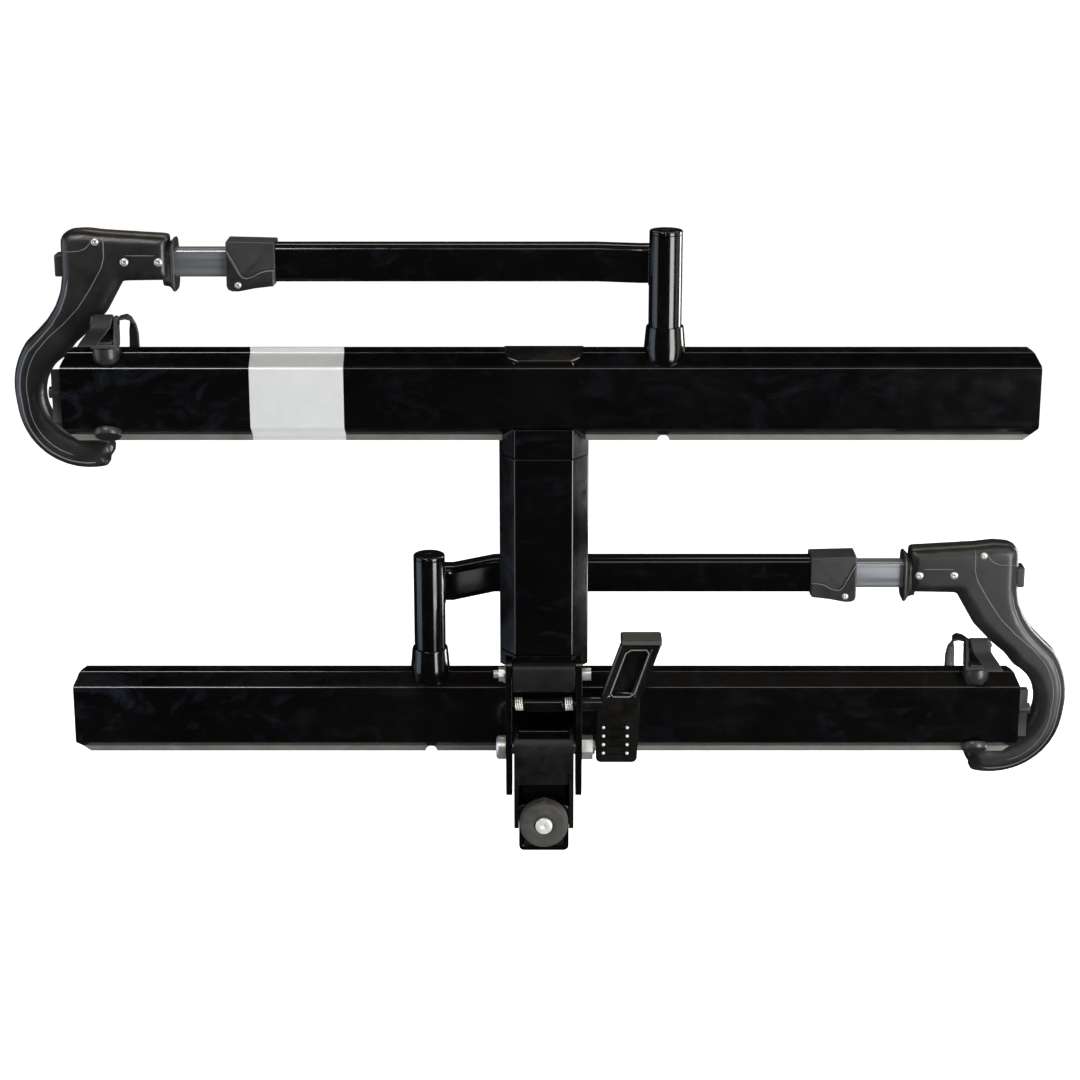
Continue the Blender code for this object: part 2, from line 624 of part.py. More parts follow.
def strap(where):
    side, half, thick = SIDE[where], STRAP_W / 2, 2.6
    centre, y0, z0 = strap_x(where), TRAY_Y[where], TRAY_Z[where]
    line = [np.array((centre - side * a, y0 + b, z0 + c)) for a, b, c, _ in STRAP_LINE]
    rings = []
    for i, (_, _, _, degrees) in enumerate(STRAP_LINE):
        turn = math.radians(degrees)
        across = np.array((math.cos(turn), side * math.sin(turn), 0.0))
        along = line[min(i + 1, len(line) - 1)] - line[max(i - 1, 0)]
        along = along / np.linalg.norm(along)
        across = across - along * across.dot(along)
        across = across / np.linalg.norm(across)
        up = np.cross(across, along)
        corners = ((-1, 1), (1, 1), (1, -1), (-1, -1))
        rings.append([tuple(line[i] + a * half * across + b * thick / 2 * up) for a, b in corners])
    finish(loft("strap_" + where, rings), "grey_plastic")


def buckle_body(where):
    y0, z0 = TRAY_Y[where], TRAY_Z[where]
    centre = strap_x(where)
    wall, inside = 3.0, STRAP_W / 2 + 0.8
    outline = [(2.0, 49.2), (19.0, 49.2), (21.0, 60.0), (21.0, 74.0)]
    outline += [(16.0, 79.5), (9.0, 79.5), (5.0, 72.0), (2.0, 60.0)]
    outline = [(y0 + y, z0 + z) for y, z in outline]
    body = extrude("buckle_body_" + where, outline, "x", centre - inside - wall, centre + inside + wall)
    cut(body, block("throat", (centre - inside, centre + inside), (y0 - 9, y0 + 30), (z0 + 53.0, z0 + 90)))
    pin = (y0 + BUCKLE_PIN[0], z0 + BUCKLE_PIN[1])
    cut(body, cylinder("pin_hole", "x", pin, 2.4, centre - 30, centre + 30, 16))
    finish(body, "grey_plastic")


def buckle_lever(where):
    y0, z0 = TRAY_Y[where], TRAY_Z[where]
    centre, half = strap_x(where), STRAP_W / 2 + 0.3
    py, pz = BUCKLE_PIN
    pivot = (centre, y0 + py, z0 + pz)
    outline = [(py + 5, pz - 4), (py + 5.5, pz + 3), (py + 1, pz + 7), (py - 8, pz + 5), (-18.0, 61.0), (-22.0, 57.0),
               (-21.0, 54.5), (-4.0, 62.5), (py - 2, pz - 7)]
    outline = [(y0 + y, z0 + z) for y, z in outline]
    body = extrude("buckle_lever_" + where, outline, "x", centre - half, centre + half, pivot)
    reach = half + 4.0
    pin = cylinder("pin", "x", (y0 + py, z0 + pz), 2.0, centre - reach, centre + reach, 16)
    join(body, pin)
    finish(body, "grey_plastic")


def tray_insert(where):
    """Moulded liner inside the strap end of the tray, showing past the end."""
    side = SIDE[where]
    y0, z0 = TRAY_Y[where], TRAY_Z[where]
    end = TRAY_SHIFT[where] + side * TRAY_LENGTH[where] / 2
    reach = sorted((end - side * 14, end + side * 9.0))
    front = y0 + TRAY_SHEET + GAP
    body = block("tray_insert_" + where, reach, (front, front + 9.0), (z0 - 25.0, z0 + 26.5))
    reach = sorted((end + side * 1.0, end + side * 12.2))
    join(body, cylinder("roll", "x", (front + 5.0, z0 + 4.0), 5.8, reach[0], reach[1], 20))
    soften(body, 1.0, 1, 60)
    finish(body, "grey_plastic")


def buckle_and_strap(where):
    strap_bell(where)
    finish(puck("strap_puck_" + where, where, 4.0, 3.4), "grey_plastic")
    strap(where)
    buckle_body(where)
    buckle_lever(where)


# ---------------------------------------------------------------- arms


def arm_axis(where):
    return TRAY_Y[where] + ARM_Y + ARM_JOG[where], TRAY_Z[where] + ARM_UP[where]


def post_pivot(where):
    return (-SIDE[where] * POST_X, TRAY_Y[where] + POST_Y, TRAY_Z[where] + ARM_UP[where])


def arm_ring(where, u, y, half_d, half_h, radius):
    z0 = TRAY_Z[where] + ARM_UP[where]
    return [(SIDE[where] * u, y + a, z0 + b) for a, b in rounded(half_d, half_h, radius, 3)]


def arm_frame(where):
    """Post that turns in the tray socket with the outer arm tube welded to its back."""
    y_post, z0 = TRAY_Y[where] + POST_Y, TRAY_Z[where]
    near, far = TRAY_Y[where] + ARM_Y, TRAY_Y[where] + ARM_Y + ARM_JOG[where]
    pivot = post_pivot(where)
    centre = (pivot[0], y_post)
    body = cylinder("arm_frame_" + where, "z", centre, POST_R, z0 + 39, z0 + POST_TOP[where] - 4.5, 24, pivot)
    path = [(-POST_X + 2, near), (ARM_END[where], near)]
    if ARM_JOG[where]:
        path = [(-POST_X + 2, near), (-POST_X + 24, near), (-52.0, far), (ARM_END[where], far)]
    tube = loft("tube", [arm_ring(where, u, y, ARM_D / 2, ARM_H / 2, 7.0) for u, y in path])
    join(body, tube)
    path[0] = (-POST_X + 18, near)
    path[-1] = (ARM_END[where] + 20, path[-1][1])
    half_d, half_h = ARM_D / 2 - ARM_WALL, ARM_H / 2 - ARM_WALL
    cut(body, loft("tube_bore", [arm_ring(where, u, y, half_d, half_h, 4.8) for u, y in path]))
    cut(body, cylinder("post_bore", "z", centre, POST_R - 3.0, z0 + 30, z0 + 200, 20))
    finish(body, "gloss_black_steel")


def post_cap(where):
    y_post, z0 = TRAY_Y[where] + POST_Y, TRAY_Z[where]
    pivot = post_pivot(where)
    centre = (pivot[0], y_post)
    top = z0 + POST_TOP[where]
    profile = [(POST_R - 3.0 - GAP, top - 16), (POST_R - 3.0 - GAP, top - 4.2), (POST_R, top - 4.1), (POST_R, top - 0.8),
               (POST_R - 0.8, top)]
    cap = revolve("post_cap_" + where, "z", centre, profile, 24, pivot)
    cut(cap, cylinder("centre_hole", "z", centre, 2.4, top - 6, top + 5, 12))
    across, front = (centre[0] - 1.3, centre[0] + 1.3), y_post - POST_R
    cut(cap, block("notch", across, (front - 2, front + 2.0), (top - 6, top + 4)))
    finish(cap, "gloss_black_steel")


def collar(where):
    """Plastic collar over the end of the outer tube, guiding the inner bar."""
    side = SIDE[where]
    y0, z0 = arm_axis(where)
    pivot = (side * (ARM_END[where] + COLLAR_IN), y0, z0)
    end = ARM_END[where]
    outline = [(COLLAR_IN, -20.5), (COLLAR_IN, 21.4), (COLLAR_OUT, 22.6), (COLLAR_OUT, -20.5)]
    outline = [(side * (end + u), z0 + w) for u, w in outline]
    body = extrude("collar_" + where, outline, "y", y0 - 16.0, y0 + 16.0, pivot)
    soften(body, 1.2, 2, 50)
    pu, pw = side * (end + COLLAR_PIN[0]), z0 + COLLAR_PIN[1]
    join(body, block("web", (pu - 3.0, pu + 3.0), (y0 - 15.0, y0 + 15.0), (pw, z0 - 16.0)))
    join(body, cylinder("boss", "y", (pu, pw), 3.6, y0 - 15.6, y0 + 15.6, 16))
    cut(body, cylinder("pin_bore", "y", (pu, pw), 2.4 + GAP, y0 - 30, y0 + 30, 16))
    tube = [arm_ring(where, u, y0, ARM_D / 2 + GAP, ARM_H / 2 + GAP, 7.0) for u in (end + COLLAR_IN - 20, end + 1)]
    cut(body, loft("tube_seat", tube))
    ends = (end + COLLAR_IN + 10, end + COLLAR_OUT + 20)
    bar = [arm_ring(where, u, y0, BAR_D / 2 + GAP, BAR_H / 2 + GAP, 3.5) for u in ends]
    cut(body, loft("bar_bore", bar))
    finish(body, "grey_plastic")


def collar_lever(where):
    """Release lever wrapped around the underside of the collar, turning on the collar pin."""
    side = SIDE[where]
    y0, z0 = arm_axis(where)
    end = ARM_END[where]
    pu, pw = end + COLLAR_PIN[0], COLLAR_PIN[1]
    pivot = (side * pu, y0, z0 + pw)
    shape = [(COLLAR_OUT - 0.5, 16.0), (COLLAR_OUT - 4, 12.0), (COLLAR_OUT - 15, -12.0), (COLLAR_OUT - 22, -13.5),
             (COLLAR_OUT - 32, -9.0), (COLLAR_IN + 3, -6.0), (COLLAR_IN + 3, -22.4), (COLLAR_OUT - 22, -24.6),
             (COLLAR_OUT - 15, -26.4), (COLLAR_OUT - 1, -26.0)]
    outline = [(side * (end + u), z0 + w) for u, w in shape]
    body = extrude("collar_lever_" + where, outline, "y", y0 - 18.4, y0 + 18.4, pivot)
    inner = [(COLLAR_OUT + 8, 40.0), (COLLAR_OUT + 8, -40.0), (COLLAR_OUT - 11, -40.0), (COLLAR_OUT - 11, -23.9),
             (COLLAR_OUT - 15, -23.9), (COLLAR_OUT - 22, -22.3), (COLLAR_IN - 9, -20.9), (COLLAR_IN - 9, 40.0)]
    inner = [(side * (end + u), z0 + w) for u, w in inner]
    cut(body, extrude("room", inner, "y", y0 - 16.0 - GAP, y0 + 16.0 + GAP))
    cut(body, cylinder("boss_room", "y", (side * pu, z0 + pw), 4.2, y0 - 16.2, y0 + 16.2, 20))
    pin = cylinder("pin", "y", (side * pu, z0 + pw), 2.4, y0 - 19.0, y0 + 19.0, 16)
    join(body, pin)
    finish(body, "grey_plastic")


def inner_bar(where):
    y0, _ = arm_axis(where)
    end = FLANGE_U[where] + 60.0
    rings = []
    for half_d, half_h, radius, u in ((BAR_D / 2, BAR_H / 2, 3.5, end - BAR_LENGTH), (BAR_D / 2, BAR_H / 2, 3.5, end),
                                      (BAR_D / 2 - BAR_WALL, BAR_H / 2 - BAR_WALL, 1.8, end),
                                      (BAR_D / 2 - BAR_WALL, BAR_H / 2 - BAR_WALL, 1.8, end - BAR_LENGTH)):
        rings.append(arm_ring(where, u, y0, half_d, half_h, radius))
    finish(loft("inner_bar_" + where, rings, closed=True), "aluminium_bar")


def hook_back():
    """Outer edge of the hook: a circle drawn out a little below."""
    (cu, cw), radius = HOOK_OUTER
    points = []
    for i in range(14):
        degrees = -96.0 + 10.0 * i
        share = min(1.0, max(0.0, (-12.0 - degrees) / 90.0))
        points += arc((cu, cw), radius + 6.5 * math.sin(math.pi * share), degrees, degrees, 1)[:1]
    return points


def hook_shape(where):
    """Hook in its own plane as (outward, up) from the flange on the arm axis."""
    neck_in = [(1.0, -20.5), (45.0, -21.5), (63.3, -54.2), (81.1, -73.4), (95.0, -85.5)]
    throat = arc(HOOK_INNER[0], HOOK_INNER[1], 62, -96, 12)
    tip = [(66.0, -187.0), (61.8, -193.0), (62.0, -200.5), (67.5, -206.6)]
    neck_out = [(132.0, -71.5), (121.6, -60.0), (113.0, -46.5), (107.4, -32.0), (105.0, -17.0)]
    head = [(104.4, 21.0), (101.5, 27.0), (94.0, 29.8), (62.9, 28.6), (1.0, 24.6)]
    points = neck_in + throat + tip + hook_back() + neck_out + head
    out, up = HOOK_SCALE[where]
    return [(out * u, up * w + HOOK_UP) for u, w in points]


def hook(where):
    side = SIDE[where]
    y0, z0 = arm_axis(where)
    base = FLANGE_U[where]
    outline = [(side * (base + u), z0 + w) for u, w in hook_shape(where)]
    body = extrude("hook_" + where, outline, "y", y0 - HOOK_T / 2, y0 + HOOK_T / 2)
    soften(body, 4.0, 1, 60)
    low, high = sorted((side * (base - 8.5), side * (base + 1.8)))
    flange = extrude("flange", rounded(HOOK_T / 2 + 1.0, 26.0, 10.0, 4, (y0, z0 - 2.5)), "x", low, high)
    join(body, flange)
    low, high = sorted((side * (base - 20), side * (base + 62.0)))
    seat = extrude("seat", rounded(BAR_D / 2 + GAP, BAR_H / 2 + GAP, 3.5, 3, (y0, z0)), "x", low, high)
    cut(body, seat)
    low, high = sorted((side * (base + HOOK_SCALE[where][0] * 105.0 - 8.0), side * (base + 160.0)))
    cut(body, block("pocket", (low, high), (y0 - 9.5, y0 + 9.5), (z0 - 17.0 + HOOK_UP, z0 + 6.5 + HOOK_UP)))
    for u in RIVETS_U:
        x = side * (base + u * HOOK_SCALE[where][0])
        cut(body, cylinder("rivet_hole", "y", (x, z0 + HOOK_UP), 2.0 + GAP, y0 - 30, y0 + 30, 12))
    finish(body, "grey_plastic")


def hook_button(where):
    side = SIDE[where]
    y0, z0 = arm_axis(where)
    base = FLANGE_U[where] + HOOK_SCALE[where][0] * 105.0
    low, high = sorted((side * (base - 2.5), side * (base + 6.5)))
    heights = (z0 - 16.3 + HOOK_UP, z0 + 5.9 + HOOK_UP)
    body = block("hook_button_" + where, (low, high), (y0 - 9.0, y0 + 9.0), heights)
    soften(body, 1.2, 1)
    finish(body, "grey_plastic")


def hook_rivet(where, name, u):
    """Rivet through hook and inner bar."""
    side = SIDE[where]
    y0, z0 = arm_axis(where)
    centre = (side * (FLANGE_U[where] + u * HOOK_SCALE[where][0]), z0 + HOOK_UP)
    half = HOOK_T / 2
    profile = [(3.2, y0 - half - 1.6), (4.2, y0 - half - 0.4), (2.0, y0 - half - 0.4), (2.0, y0 + half + 0.4),
               (4.2, y0 + half + 0.4), (3.2, y0 + half + 1.6)]
    finish(revolve(name + "_" + where, "y", centre, profile, 12), "zinc_steel")


def drill_bar(where):
    """Rivet holes through the inner bar."""
    bar = bpy.data.objects["inner_bar_" + where]
    y0, z0 = arm_axis(where)
    for u in RIVETS_U:
        x = SIDE[where] * (FLANGE_U[where] + u * HOOK_SCALE[where][0])
        cut(bar, cylinder("rivet_hole", "y", (x, z0 + HOOK_UP), 2.0 + GAP, y0 - 30, y0 + 30, 12))
    finish(bar, "aluminium_bar")


def arm(where):
    arm_frame(where)
    post_cap(where)
    collar(where)
    collar_lever(where)
    inner_bar(where)
    hook(where)
    hook_button(where)
    hook_rivet(where, "rivet_near", RIVETS_U[0])
    hook_rivet(where, "rivet_far", RIVETS_U[1])
    drill_bar(where)


# ---------------------------------------------------------------- assembly
stinger_tube()
stinger_end_plate()
stinger_bracket()
stop_bar()
draw_rod()
knob()
cam_wedge()
pivot_set()
spine_tube()
spine_adapter()
spine_end_cap()
spine_foot()
cheek("cheek_left", -1)
cheek("cheek_right", 1)
hinge_cover()
foot_bolt_set()
latch_shaft()
latch_spring("latch_spring_left", -30.5, -20.2)
latch_spring("latch_spring_right", 20.2, 30.5)
foot_lever()
for where in ("outer", "inner"):
    tray(where)
    arm_socket(where)
    tray_insert(where)
    buckle_and_strap(where)
    arm(where)
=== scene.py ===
"""Looks of the folded hitch bike rack: materials, moulded details, light and camera around the CAD model."""
import json
import math

import bmesh
import bpy
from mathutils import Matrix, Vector

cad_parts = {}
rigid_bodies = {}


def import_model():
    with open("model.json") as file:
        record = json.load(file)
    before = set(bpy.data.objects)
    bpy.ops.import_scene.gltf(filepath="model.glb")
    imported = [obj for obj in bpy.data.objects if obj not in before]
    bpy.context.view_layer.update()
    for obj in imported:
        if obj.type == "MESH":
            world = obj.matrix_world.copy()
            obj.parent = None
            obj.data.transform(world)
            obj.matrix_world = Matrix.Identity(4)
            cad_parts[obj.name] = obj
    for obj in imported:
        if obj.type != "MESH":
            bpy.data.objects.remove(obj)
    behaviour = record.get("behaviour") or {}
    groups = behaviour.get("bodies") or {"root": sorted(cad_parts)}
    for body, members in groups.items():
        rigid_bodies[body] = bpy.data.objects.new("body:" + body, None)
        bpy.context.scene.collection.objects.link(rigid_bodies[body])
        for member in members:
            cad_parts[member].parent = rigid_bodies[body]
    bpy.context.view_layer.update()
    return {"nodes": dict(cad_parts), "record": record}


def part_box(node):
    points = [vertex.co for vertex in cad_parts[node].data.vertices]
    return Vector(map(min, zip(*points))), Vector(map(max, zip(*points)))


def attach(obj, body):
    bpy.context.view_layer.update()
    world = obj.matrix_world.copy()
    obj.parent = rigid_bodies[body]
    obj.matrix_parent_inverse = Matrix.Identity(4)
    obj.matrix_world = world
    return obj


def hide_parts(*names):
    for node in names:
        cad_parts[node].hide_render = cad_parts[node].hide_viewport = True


for leftover in list(bpy.data.objects):
    bpy.data.objects.remove(leftover, do_unlink=True)

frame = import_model()
NODES = frame["nodes"]

# ------------------------------------------------------------------ dimensions, in millimetres
# The working frame has the spine's front face at y = 0 and the tilt pivot at z = 0.
ORIGIN = Vector((0.0, 204.0, -103.7))      # where the row frame's origin lies in the working frame
MM = 0.001
SIDE = {"outer": -1.0, "inner": 1.0}       # the side on which each tray's strap and hook sit
TRAY_Z = {"outer": 370.0, "inner": 17.0}   # height of the middle of each tray


def row(x, y, z):
    """A point of the working frame, in the row frame's metres."""
    return (Vector((x, y, z)) - ORIGIN) * MM


def row_z(z):
    """A height of the working frame, in the row frame's metres."""
    return (z - ORIGIN.z) * MM


# ------------------------------------------------------------------ node helpers
class Shader:
    """A node material being put together, with short ways to add and link nodes."""

    def __init__(self, name):
        self.material = bpy.data.materials.new(name)
        self.material.use_nodes = True
        self.tree = self.material.node_tree
        self.principled = self.tree.nodes["Principled BSDF"]
        self.place = self.add("ShaderNodeTexCoord").outputs["Object"]

    def add(self, kind, **settings):
        node = self.tree.nodes.new(kind)
        for key, value in settings.items():
            setattr(node, key, value)
        return node

    def link(self, source, target):
        self.tree.links.new(source, target)

    def set(self, **values):
        """Plain values on the shader's own sockets: base_color=..., coat_weight=..."""
        for key, value in values.items():
            socket = self.principled.inputs[key.replace("_", " ").title().replace("Ior", "IOR")]
            socket.default_value = (*value, 1.0) if isinstance(value, tuple) else value

    def feed(self, socket, source):
        self.link(source, self.principled.inputs[socket])

    def noise(self, scale, detail=3.0, rough=0.5, stretch=(1.0, 1.0, 1.0), distortion=0.0):
        """Noise over the object, scale in cycles a metre."""
        mapping = self.add("ShaderNodeMapping")
        mapping.inputs["Scale"].default_value = stretch
        self.link(self.place, mapping.inputs["Vector"])
        node = self.add("ShaderNodeTexNoise")
        node.inputs["Scale"].default_value = scale
        node.inputs["Detail"].default_value = detail
        node.inputs["Roughness"].default_value = rough
        node.inputs["Distortion"].default_value = distortion
        self.link(mapping.outputs["Vector"], node.inputs["Vector"])
        return node.outputs["Fac"]

    def spread(self, source, low, high, start=0.3, end=0.7):
        """A number that goes from low to high as source goes from start to end."""
        node = self.add("ShaderNodeMapRange")
        node.inputs["From Min"].default_value = start
        node.inputs["From Max"].default_value = end
        node.inputs["To Min"].default_value = low
        node.inputs["To Max"].default_value = high
        self.link(source, node.inputs["Value"])
        return node.outputs["Result"]

    def ramp(self, source, *stops):
        """A colour from stops of (position, (r, g, b))."""
        node = self.add("ShaderNodeValToRGB")
        elements = node.color_ramp.elements
        while len(elements) < len(stops):
            elements.new(0.5)
        for element, (position, colour) in zip(elements, stops):
            element.position = position
            element.color = (*colour, 1.0)
        self.link(source, node.inputs["Fac"])
        return node.outputs["Color"]

    def mix(self, factor, low, high):
        """Blend of two colour outputs."""
        node = self.add("ShaderNodeMix", data_type="RGBA")
        self.link(factor, node.inputs["Factor"])
        for socket, value in ((node.inputs[6], low), (node.inputs[7], high)):
            if isinstance(value, tuple):
                socket.default_value = (*value, 1.0)
            else:
                self.link(value, socket)
        return node.outputs[2]

    def mix_value(self, factor, low, high):
        node = self.add("ShaderNodeMix", data_type="FLOAT")
        self.link(factor, node.inputs["Factor"])
        for socket, value in ((node.inputs[2], low), (node.inputs[3], high)):
            if isinstance(value, float):
                socket.default_value = value
            else:
                self.link(value, socket)
        return node.outputs[0]

    def math(self, operation, first, second=0.0):
        node = self.add("ShaderNodeMath", operation=operation)
        for socket, value in zip(node.inputs, (first, second)):
            if isinstance(value, (int, float)):
                socket.default_value = value
            else:
                self.link(value, socket)
        return node.outputs[0]

    def axis(self, name):
        node = self.add("ShaderNodeSeparateXYZ")
        self.link(self.place, node.inputs["Vector"])
        return node.outputs[name]

    def edges(self, start=0.52, end=0.62):
        """1 along convex edges and 0 elsewhere."""
        geometry = self.add("ShaderNodeNewGeometry")
        return self.spread(geometry.outputs["Pointiness"], 0.0, 1.0, start, end)

    def bump(self, height, depth, strength=1.0):
        """Raise the surface by height, which runs from 0 to 1, times depth in millimetres."""
        node = self.add("ShaderNodeBump")
        node.inputs["Strength"].default_value = strength
        node.inputs["Distance"].default_value = depth * MM
        self.link(height, node.inputs["Height"])
        previous = self.principled.inputs["Normal"].links
        if previous:
            self.link(previous[0].from_socket, node.inputs["Normal"])
        self.feed("Normal", node.outputs["Normal"])


# ------------------------------------------------------------------ materials
def gloss_black(name="powder_coat_gloss"):
    """Black powder coat: a glossy skin with faint orange peel, and a little dust and handling."""
    s = Shader(name)
    cloud = s.noise(9.0, 4.0, 0.55)
    base = s.ramp(cloud, (0.3, (0.0006, 0.0006, 0.0008)), (0.75, (0.0018, 0.0017, 0.0016)))
    swirl = s.spread(s.noise(24.0, 6.0, 0.62, (1.0, 1.0, 1.7), 1.4), 0.0, 0.6, 0.55, 0.82)
    s.feed("Base Color", s.mix(swirl, base, (0.0065, 0.0085, 0.013)))
    s.feed("Roughness", s.spread(s.noise(38.0, 5.0, 0.6), 0.10, 0.19))
    s.set(specular_ior_level=0.5)
    s.bump(s.noise(420.0, 2.0), 0.006)
    return s


def scuffed_black():
    """Black paint of the foot lever, dulled brown by shoes."""
    s = Shader("lever_paint")
    scuff = s.noise(60.0, 6.0, 0.65, (1.0, 1.0, 0.5), 0.8)
    s.feed("Base Color", s.ramp(scuff, (0.35, (0.0018, 0.0017, 0.0016)), (0.7, (0.0065, 0.0058, 0.005))))
    s.feed("Roughness", s.spread(scuff, 0.13, 0.27))
    s.bump(scuff, 0.02, 0.6)
    return s


def tray_paint(name, reflection_lip_z):
    """Gloss black of a tray, with a bluish film towards its left end and a light grey, rougher lower lip that
    is a painted reflection.
    """
    s = gloss_black(name)
    base = s.principled.inputs["Base Color"].links[0].from_socket
    rough = s.principled.inputs["Roughness"].links[0].from_socket
    swirl = s.noise(16.0, 6.0, 0.62, (1.0, 1.0, 1.7), 1.6)
    ends = s.spread(s.axis("X"), 1.0, 0.25, -0.46, -0.20)
    film = s.math("MULTIPLY", s.spread(swirl, 0.0, 1.0, 0.52, 0.80), ends)
    base = s.mix(s.math("MULTIPLY", film, 0.9), base, (0.010, 0.013, 0.020))
    # Painted reflection: the lower lip, where the glossy sheet would reflect the floor at a grazing angle, is
    # painted light grey and rougher.
    lip = s.math("LESS_THAN", s.axis("Z"), reflection_lip_z)
    base = s.mix(lip, base, s.ramp(swirl, (0.3, (0.085, 0.080, 0.072)), (0.7, (0.13, 0.125, 0.115))))
    s.feed("Base Color", base)
    s.feed("Roughness", s.mix_value(s.math("MAXIMUM", lip, s.math("MULTIPLY", film, 0.4)), rough, 0.45))
    return s


def paint_with_band(name, reflection_lip_z, low_x, high_x):
    """The paint of the outer tray, with a satin silver band between two places along it."""
    s = tray_paint(name, reflection_lip_z)
    base = s.principled.inputs["Base Color"].links[0].from_socket
    rough = s.principled.inputs["Roughness"].links[0].from_socket
    x = s.axis("X")
    inside = s.math("MULTIPLY", s.math("GREATER_THAN", x, low_x), s.math("LESS_THAN", x, high_x))
    silver = s.ramp(s.noise(60.0, 4.0), (0.3, (0.53, 0.535, 0.54)), (0.7, (0.56, 0.565, 0.57)))
    s.feed("Base Color", s.mix(inside, base, silver))
    s.feed("Roughness", s.mix_value(inside, rough, 0.42))
    s.feed("Metallic", s.math("MULTIPLY", inside, 0.35))
    return s


def matte_black():
    """Satin black pressed steel of the hinge parts, its convex edges lighter: partly rubbed wear, partly a
    painted edge highlight.
    """
    s = Shader("pressed_steel_black")
    worn_and_highlit_edges = s.edges(0.54, 0.66)
    base = s.ramp(s.noise(45.0, 5.0, 0.6), (0.3, (0.0014, 0.0013, 0.0013)), (0.75, (0.0045, 0.0041, 0.0037)))
    # Convex edges lightened: partly wear, partly a painted edge highlight.
    s.feed("Base Color", s.mix(s.math("MULTIPLY", worn_and_highlit_edges, 0.5), base, (0.05, 0.05, 0.052)))
    s.feed("Roughness", s.spread(s.noise(90.0, 4.0), 0.30, 0.48))
    s.set(specular_ior_level=0.26)
    s.bump(s.noise(700.0, 2.0), 0.02)
    return s


def moulded_plastic(name="moulded_plastic", low=(0.0050, 0.0049, 0.0048), high=(0.0135, 0.0133, 0.0130),
                    rough=(0.30, 0.43)):
    """Dark grey glass-filled plastic with a fine spark-eroded grain, its convex edges lighter: partly rubbed
    wear, partly a painted edge highlight.
    """
    s = Shader(name)
    worn_and_highlit_edges = s.edges(0.53, 0.64)
    base = s.ramp(s.noise(22.0, 5.0, 0.62, (1.0, 1.0, 1.0), 0.6), (0.36, low), (0.66, high))
    # Convex edges lightened: partly wear, partly a painted edge highlight.
    s.feed("Base Color", s.mix(s.math("MULTIPLY", worn_and_highlit_edges, 0.45), base, (0.12, 0.12, 0.118)))
    s.feed("Roughness", s.spread(s.noise(240.0, 3.0), *rough))
    s.bump(s.noise(1500.0, 2.0, 0.6), 0.06, 0.7)
    s.bump(s.noise(60.0, 2.0), 0.05, 0.4)
    return s


def rubber():
    """Warm dark grey rubber of the knob, pads and treads, with a dusty bloom."""
    s = Shader("grip_rubber")
    bloom = s.noise(120.0, 5.0, 0.65)
    s.feed("Base Color", s.ramp(bloom, (0.3, (0.020, 0.019, 0.017)), (0.75, (0.042, 0.040, 0.035))))
    s.feed("Roughness", s.spread(bloom, 0.62, 0.82))
    s.bump(s.noise(900.0, 3.0, 0.6), 0.08, 0.7)
    return s


def aluminium():
    """Anodised aluminium bar, drawn lengthwise along X."""
    s = Shader("anodised_bar")
    drawn = s.noise(220.0, 4.0, 0.6, (0.03, 1.0, 1.0))
    s.feed("Base Color", s.ramp(drawn, (0.25, (0.24, 0.255, 0.28)), (0.8, (0.40, 0.42, 0.45))))
    s.feed("Roughness", s.spread(drawn, 0.30, 0.42))
    s.set(metallic=0.85)
    s.bump(drawn, 0.02, 0.6)
    return s


def zinc():
    """Bright zinc plating with a faint yellow and blue mottle."""
    s = Shader("zinc_plate")
    spangle = s.noise(150.0, 3.0, 0.5)
    colour = s.ramp(spangle, (0.3, (0.52, 0.52, 0.50)), (0.55, (0.66, 0.66, 0.65)), (0.8, (0.60, 0.62, 0.66)))
    s.feed("Base Color", colour)
    s.feed("Roughness", s.spread(spangle, 0.30, 0.40))
    s.set(metallic=0.8)
    s.bump(spangle, 0.01, 0.5)
    return s


def silver_hub():
    """Satin silver cap in the middle of the knob."""
    s = Shader("satin_silver")
    turned = s.noise(400.0, 3.0)
    s.feed("Base Color", s.ramp(turned, (0.3, (0.62, 0.62, 0.60)), (0.7, (0.74, 0.74, 0.72))))
    s.feed("Roughness", s.spread(turned, 0.30, 0.42))
    s.set(metallic=0.5)
    s.bump(turned, 0.01, 0.5)
    return s


def spring_steel():
    """Bare bright wire of the latch springs."""
    s = Shader("spring_wire")
    drawn = s.noise(260.0, 3.0)
    s.feed("Base Color", s.ramp(drawn, (0.3, (0.62, 0.60, 0.55)), (0.7, (0.80, 0.78, 0.73))))
    s.feed("Roughness", s.spread(drawn, 0.28, 0.40))
    s.set(metallic=0.55)
    s.bump(drawn, 0.01, 0.5)
    return s


BAND = (-288.4 * MM, -196.3 * MM)          # ends of the silver band, in metres along the outer tray
LIP_REFLECTION_DROP = 40.9                            # the lower lip, painted light grey as a painted reflection, starts this far below the middle of a tray
PAINT = {
    "gloss_black_steel": gloss_black().material,
    "matte_black_steel": matte_black().material,
    "aluminium_bar": aluminium().material,
    "zinc_steel": zinc().material,
    "grey_plastic": moulded_plastic().material,
    "grip_rubber": rubber().material,
    "silver_hub": silver_hub().material,
}
# Light grey plastic of the raised lines and rims: a painted highlight along ridges that would catch the
# light.
HIGHLIGHT_PLASTIC = moulded_plastic("moulded_plastic_painted_highlight", (0.075, 0.076, 0.078), (0.12, 0.121, 0.124)).material
SPRING = spring_steel().material
LEVER_PAINT = scuffed_black().material
NYLON = moulded_plastic("strap_nylon", (0.0035, 0.0034, 0.0034), (0.0085, 0.0083, 0.0080),
                        (0.52, 0.66)).material
SPECIAL = {name: NYLON for name in ("strap_outer", "strap_inner", "buckle_body_outer", "buckle_body_inner")}
SPECIAL.update(latch_spring_left=SPRING, latch_spring_right=SPRING, foot_lever=LEVER_PAINT)


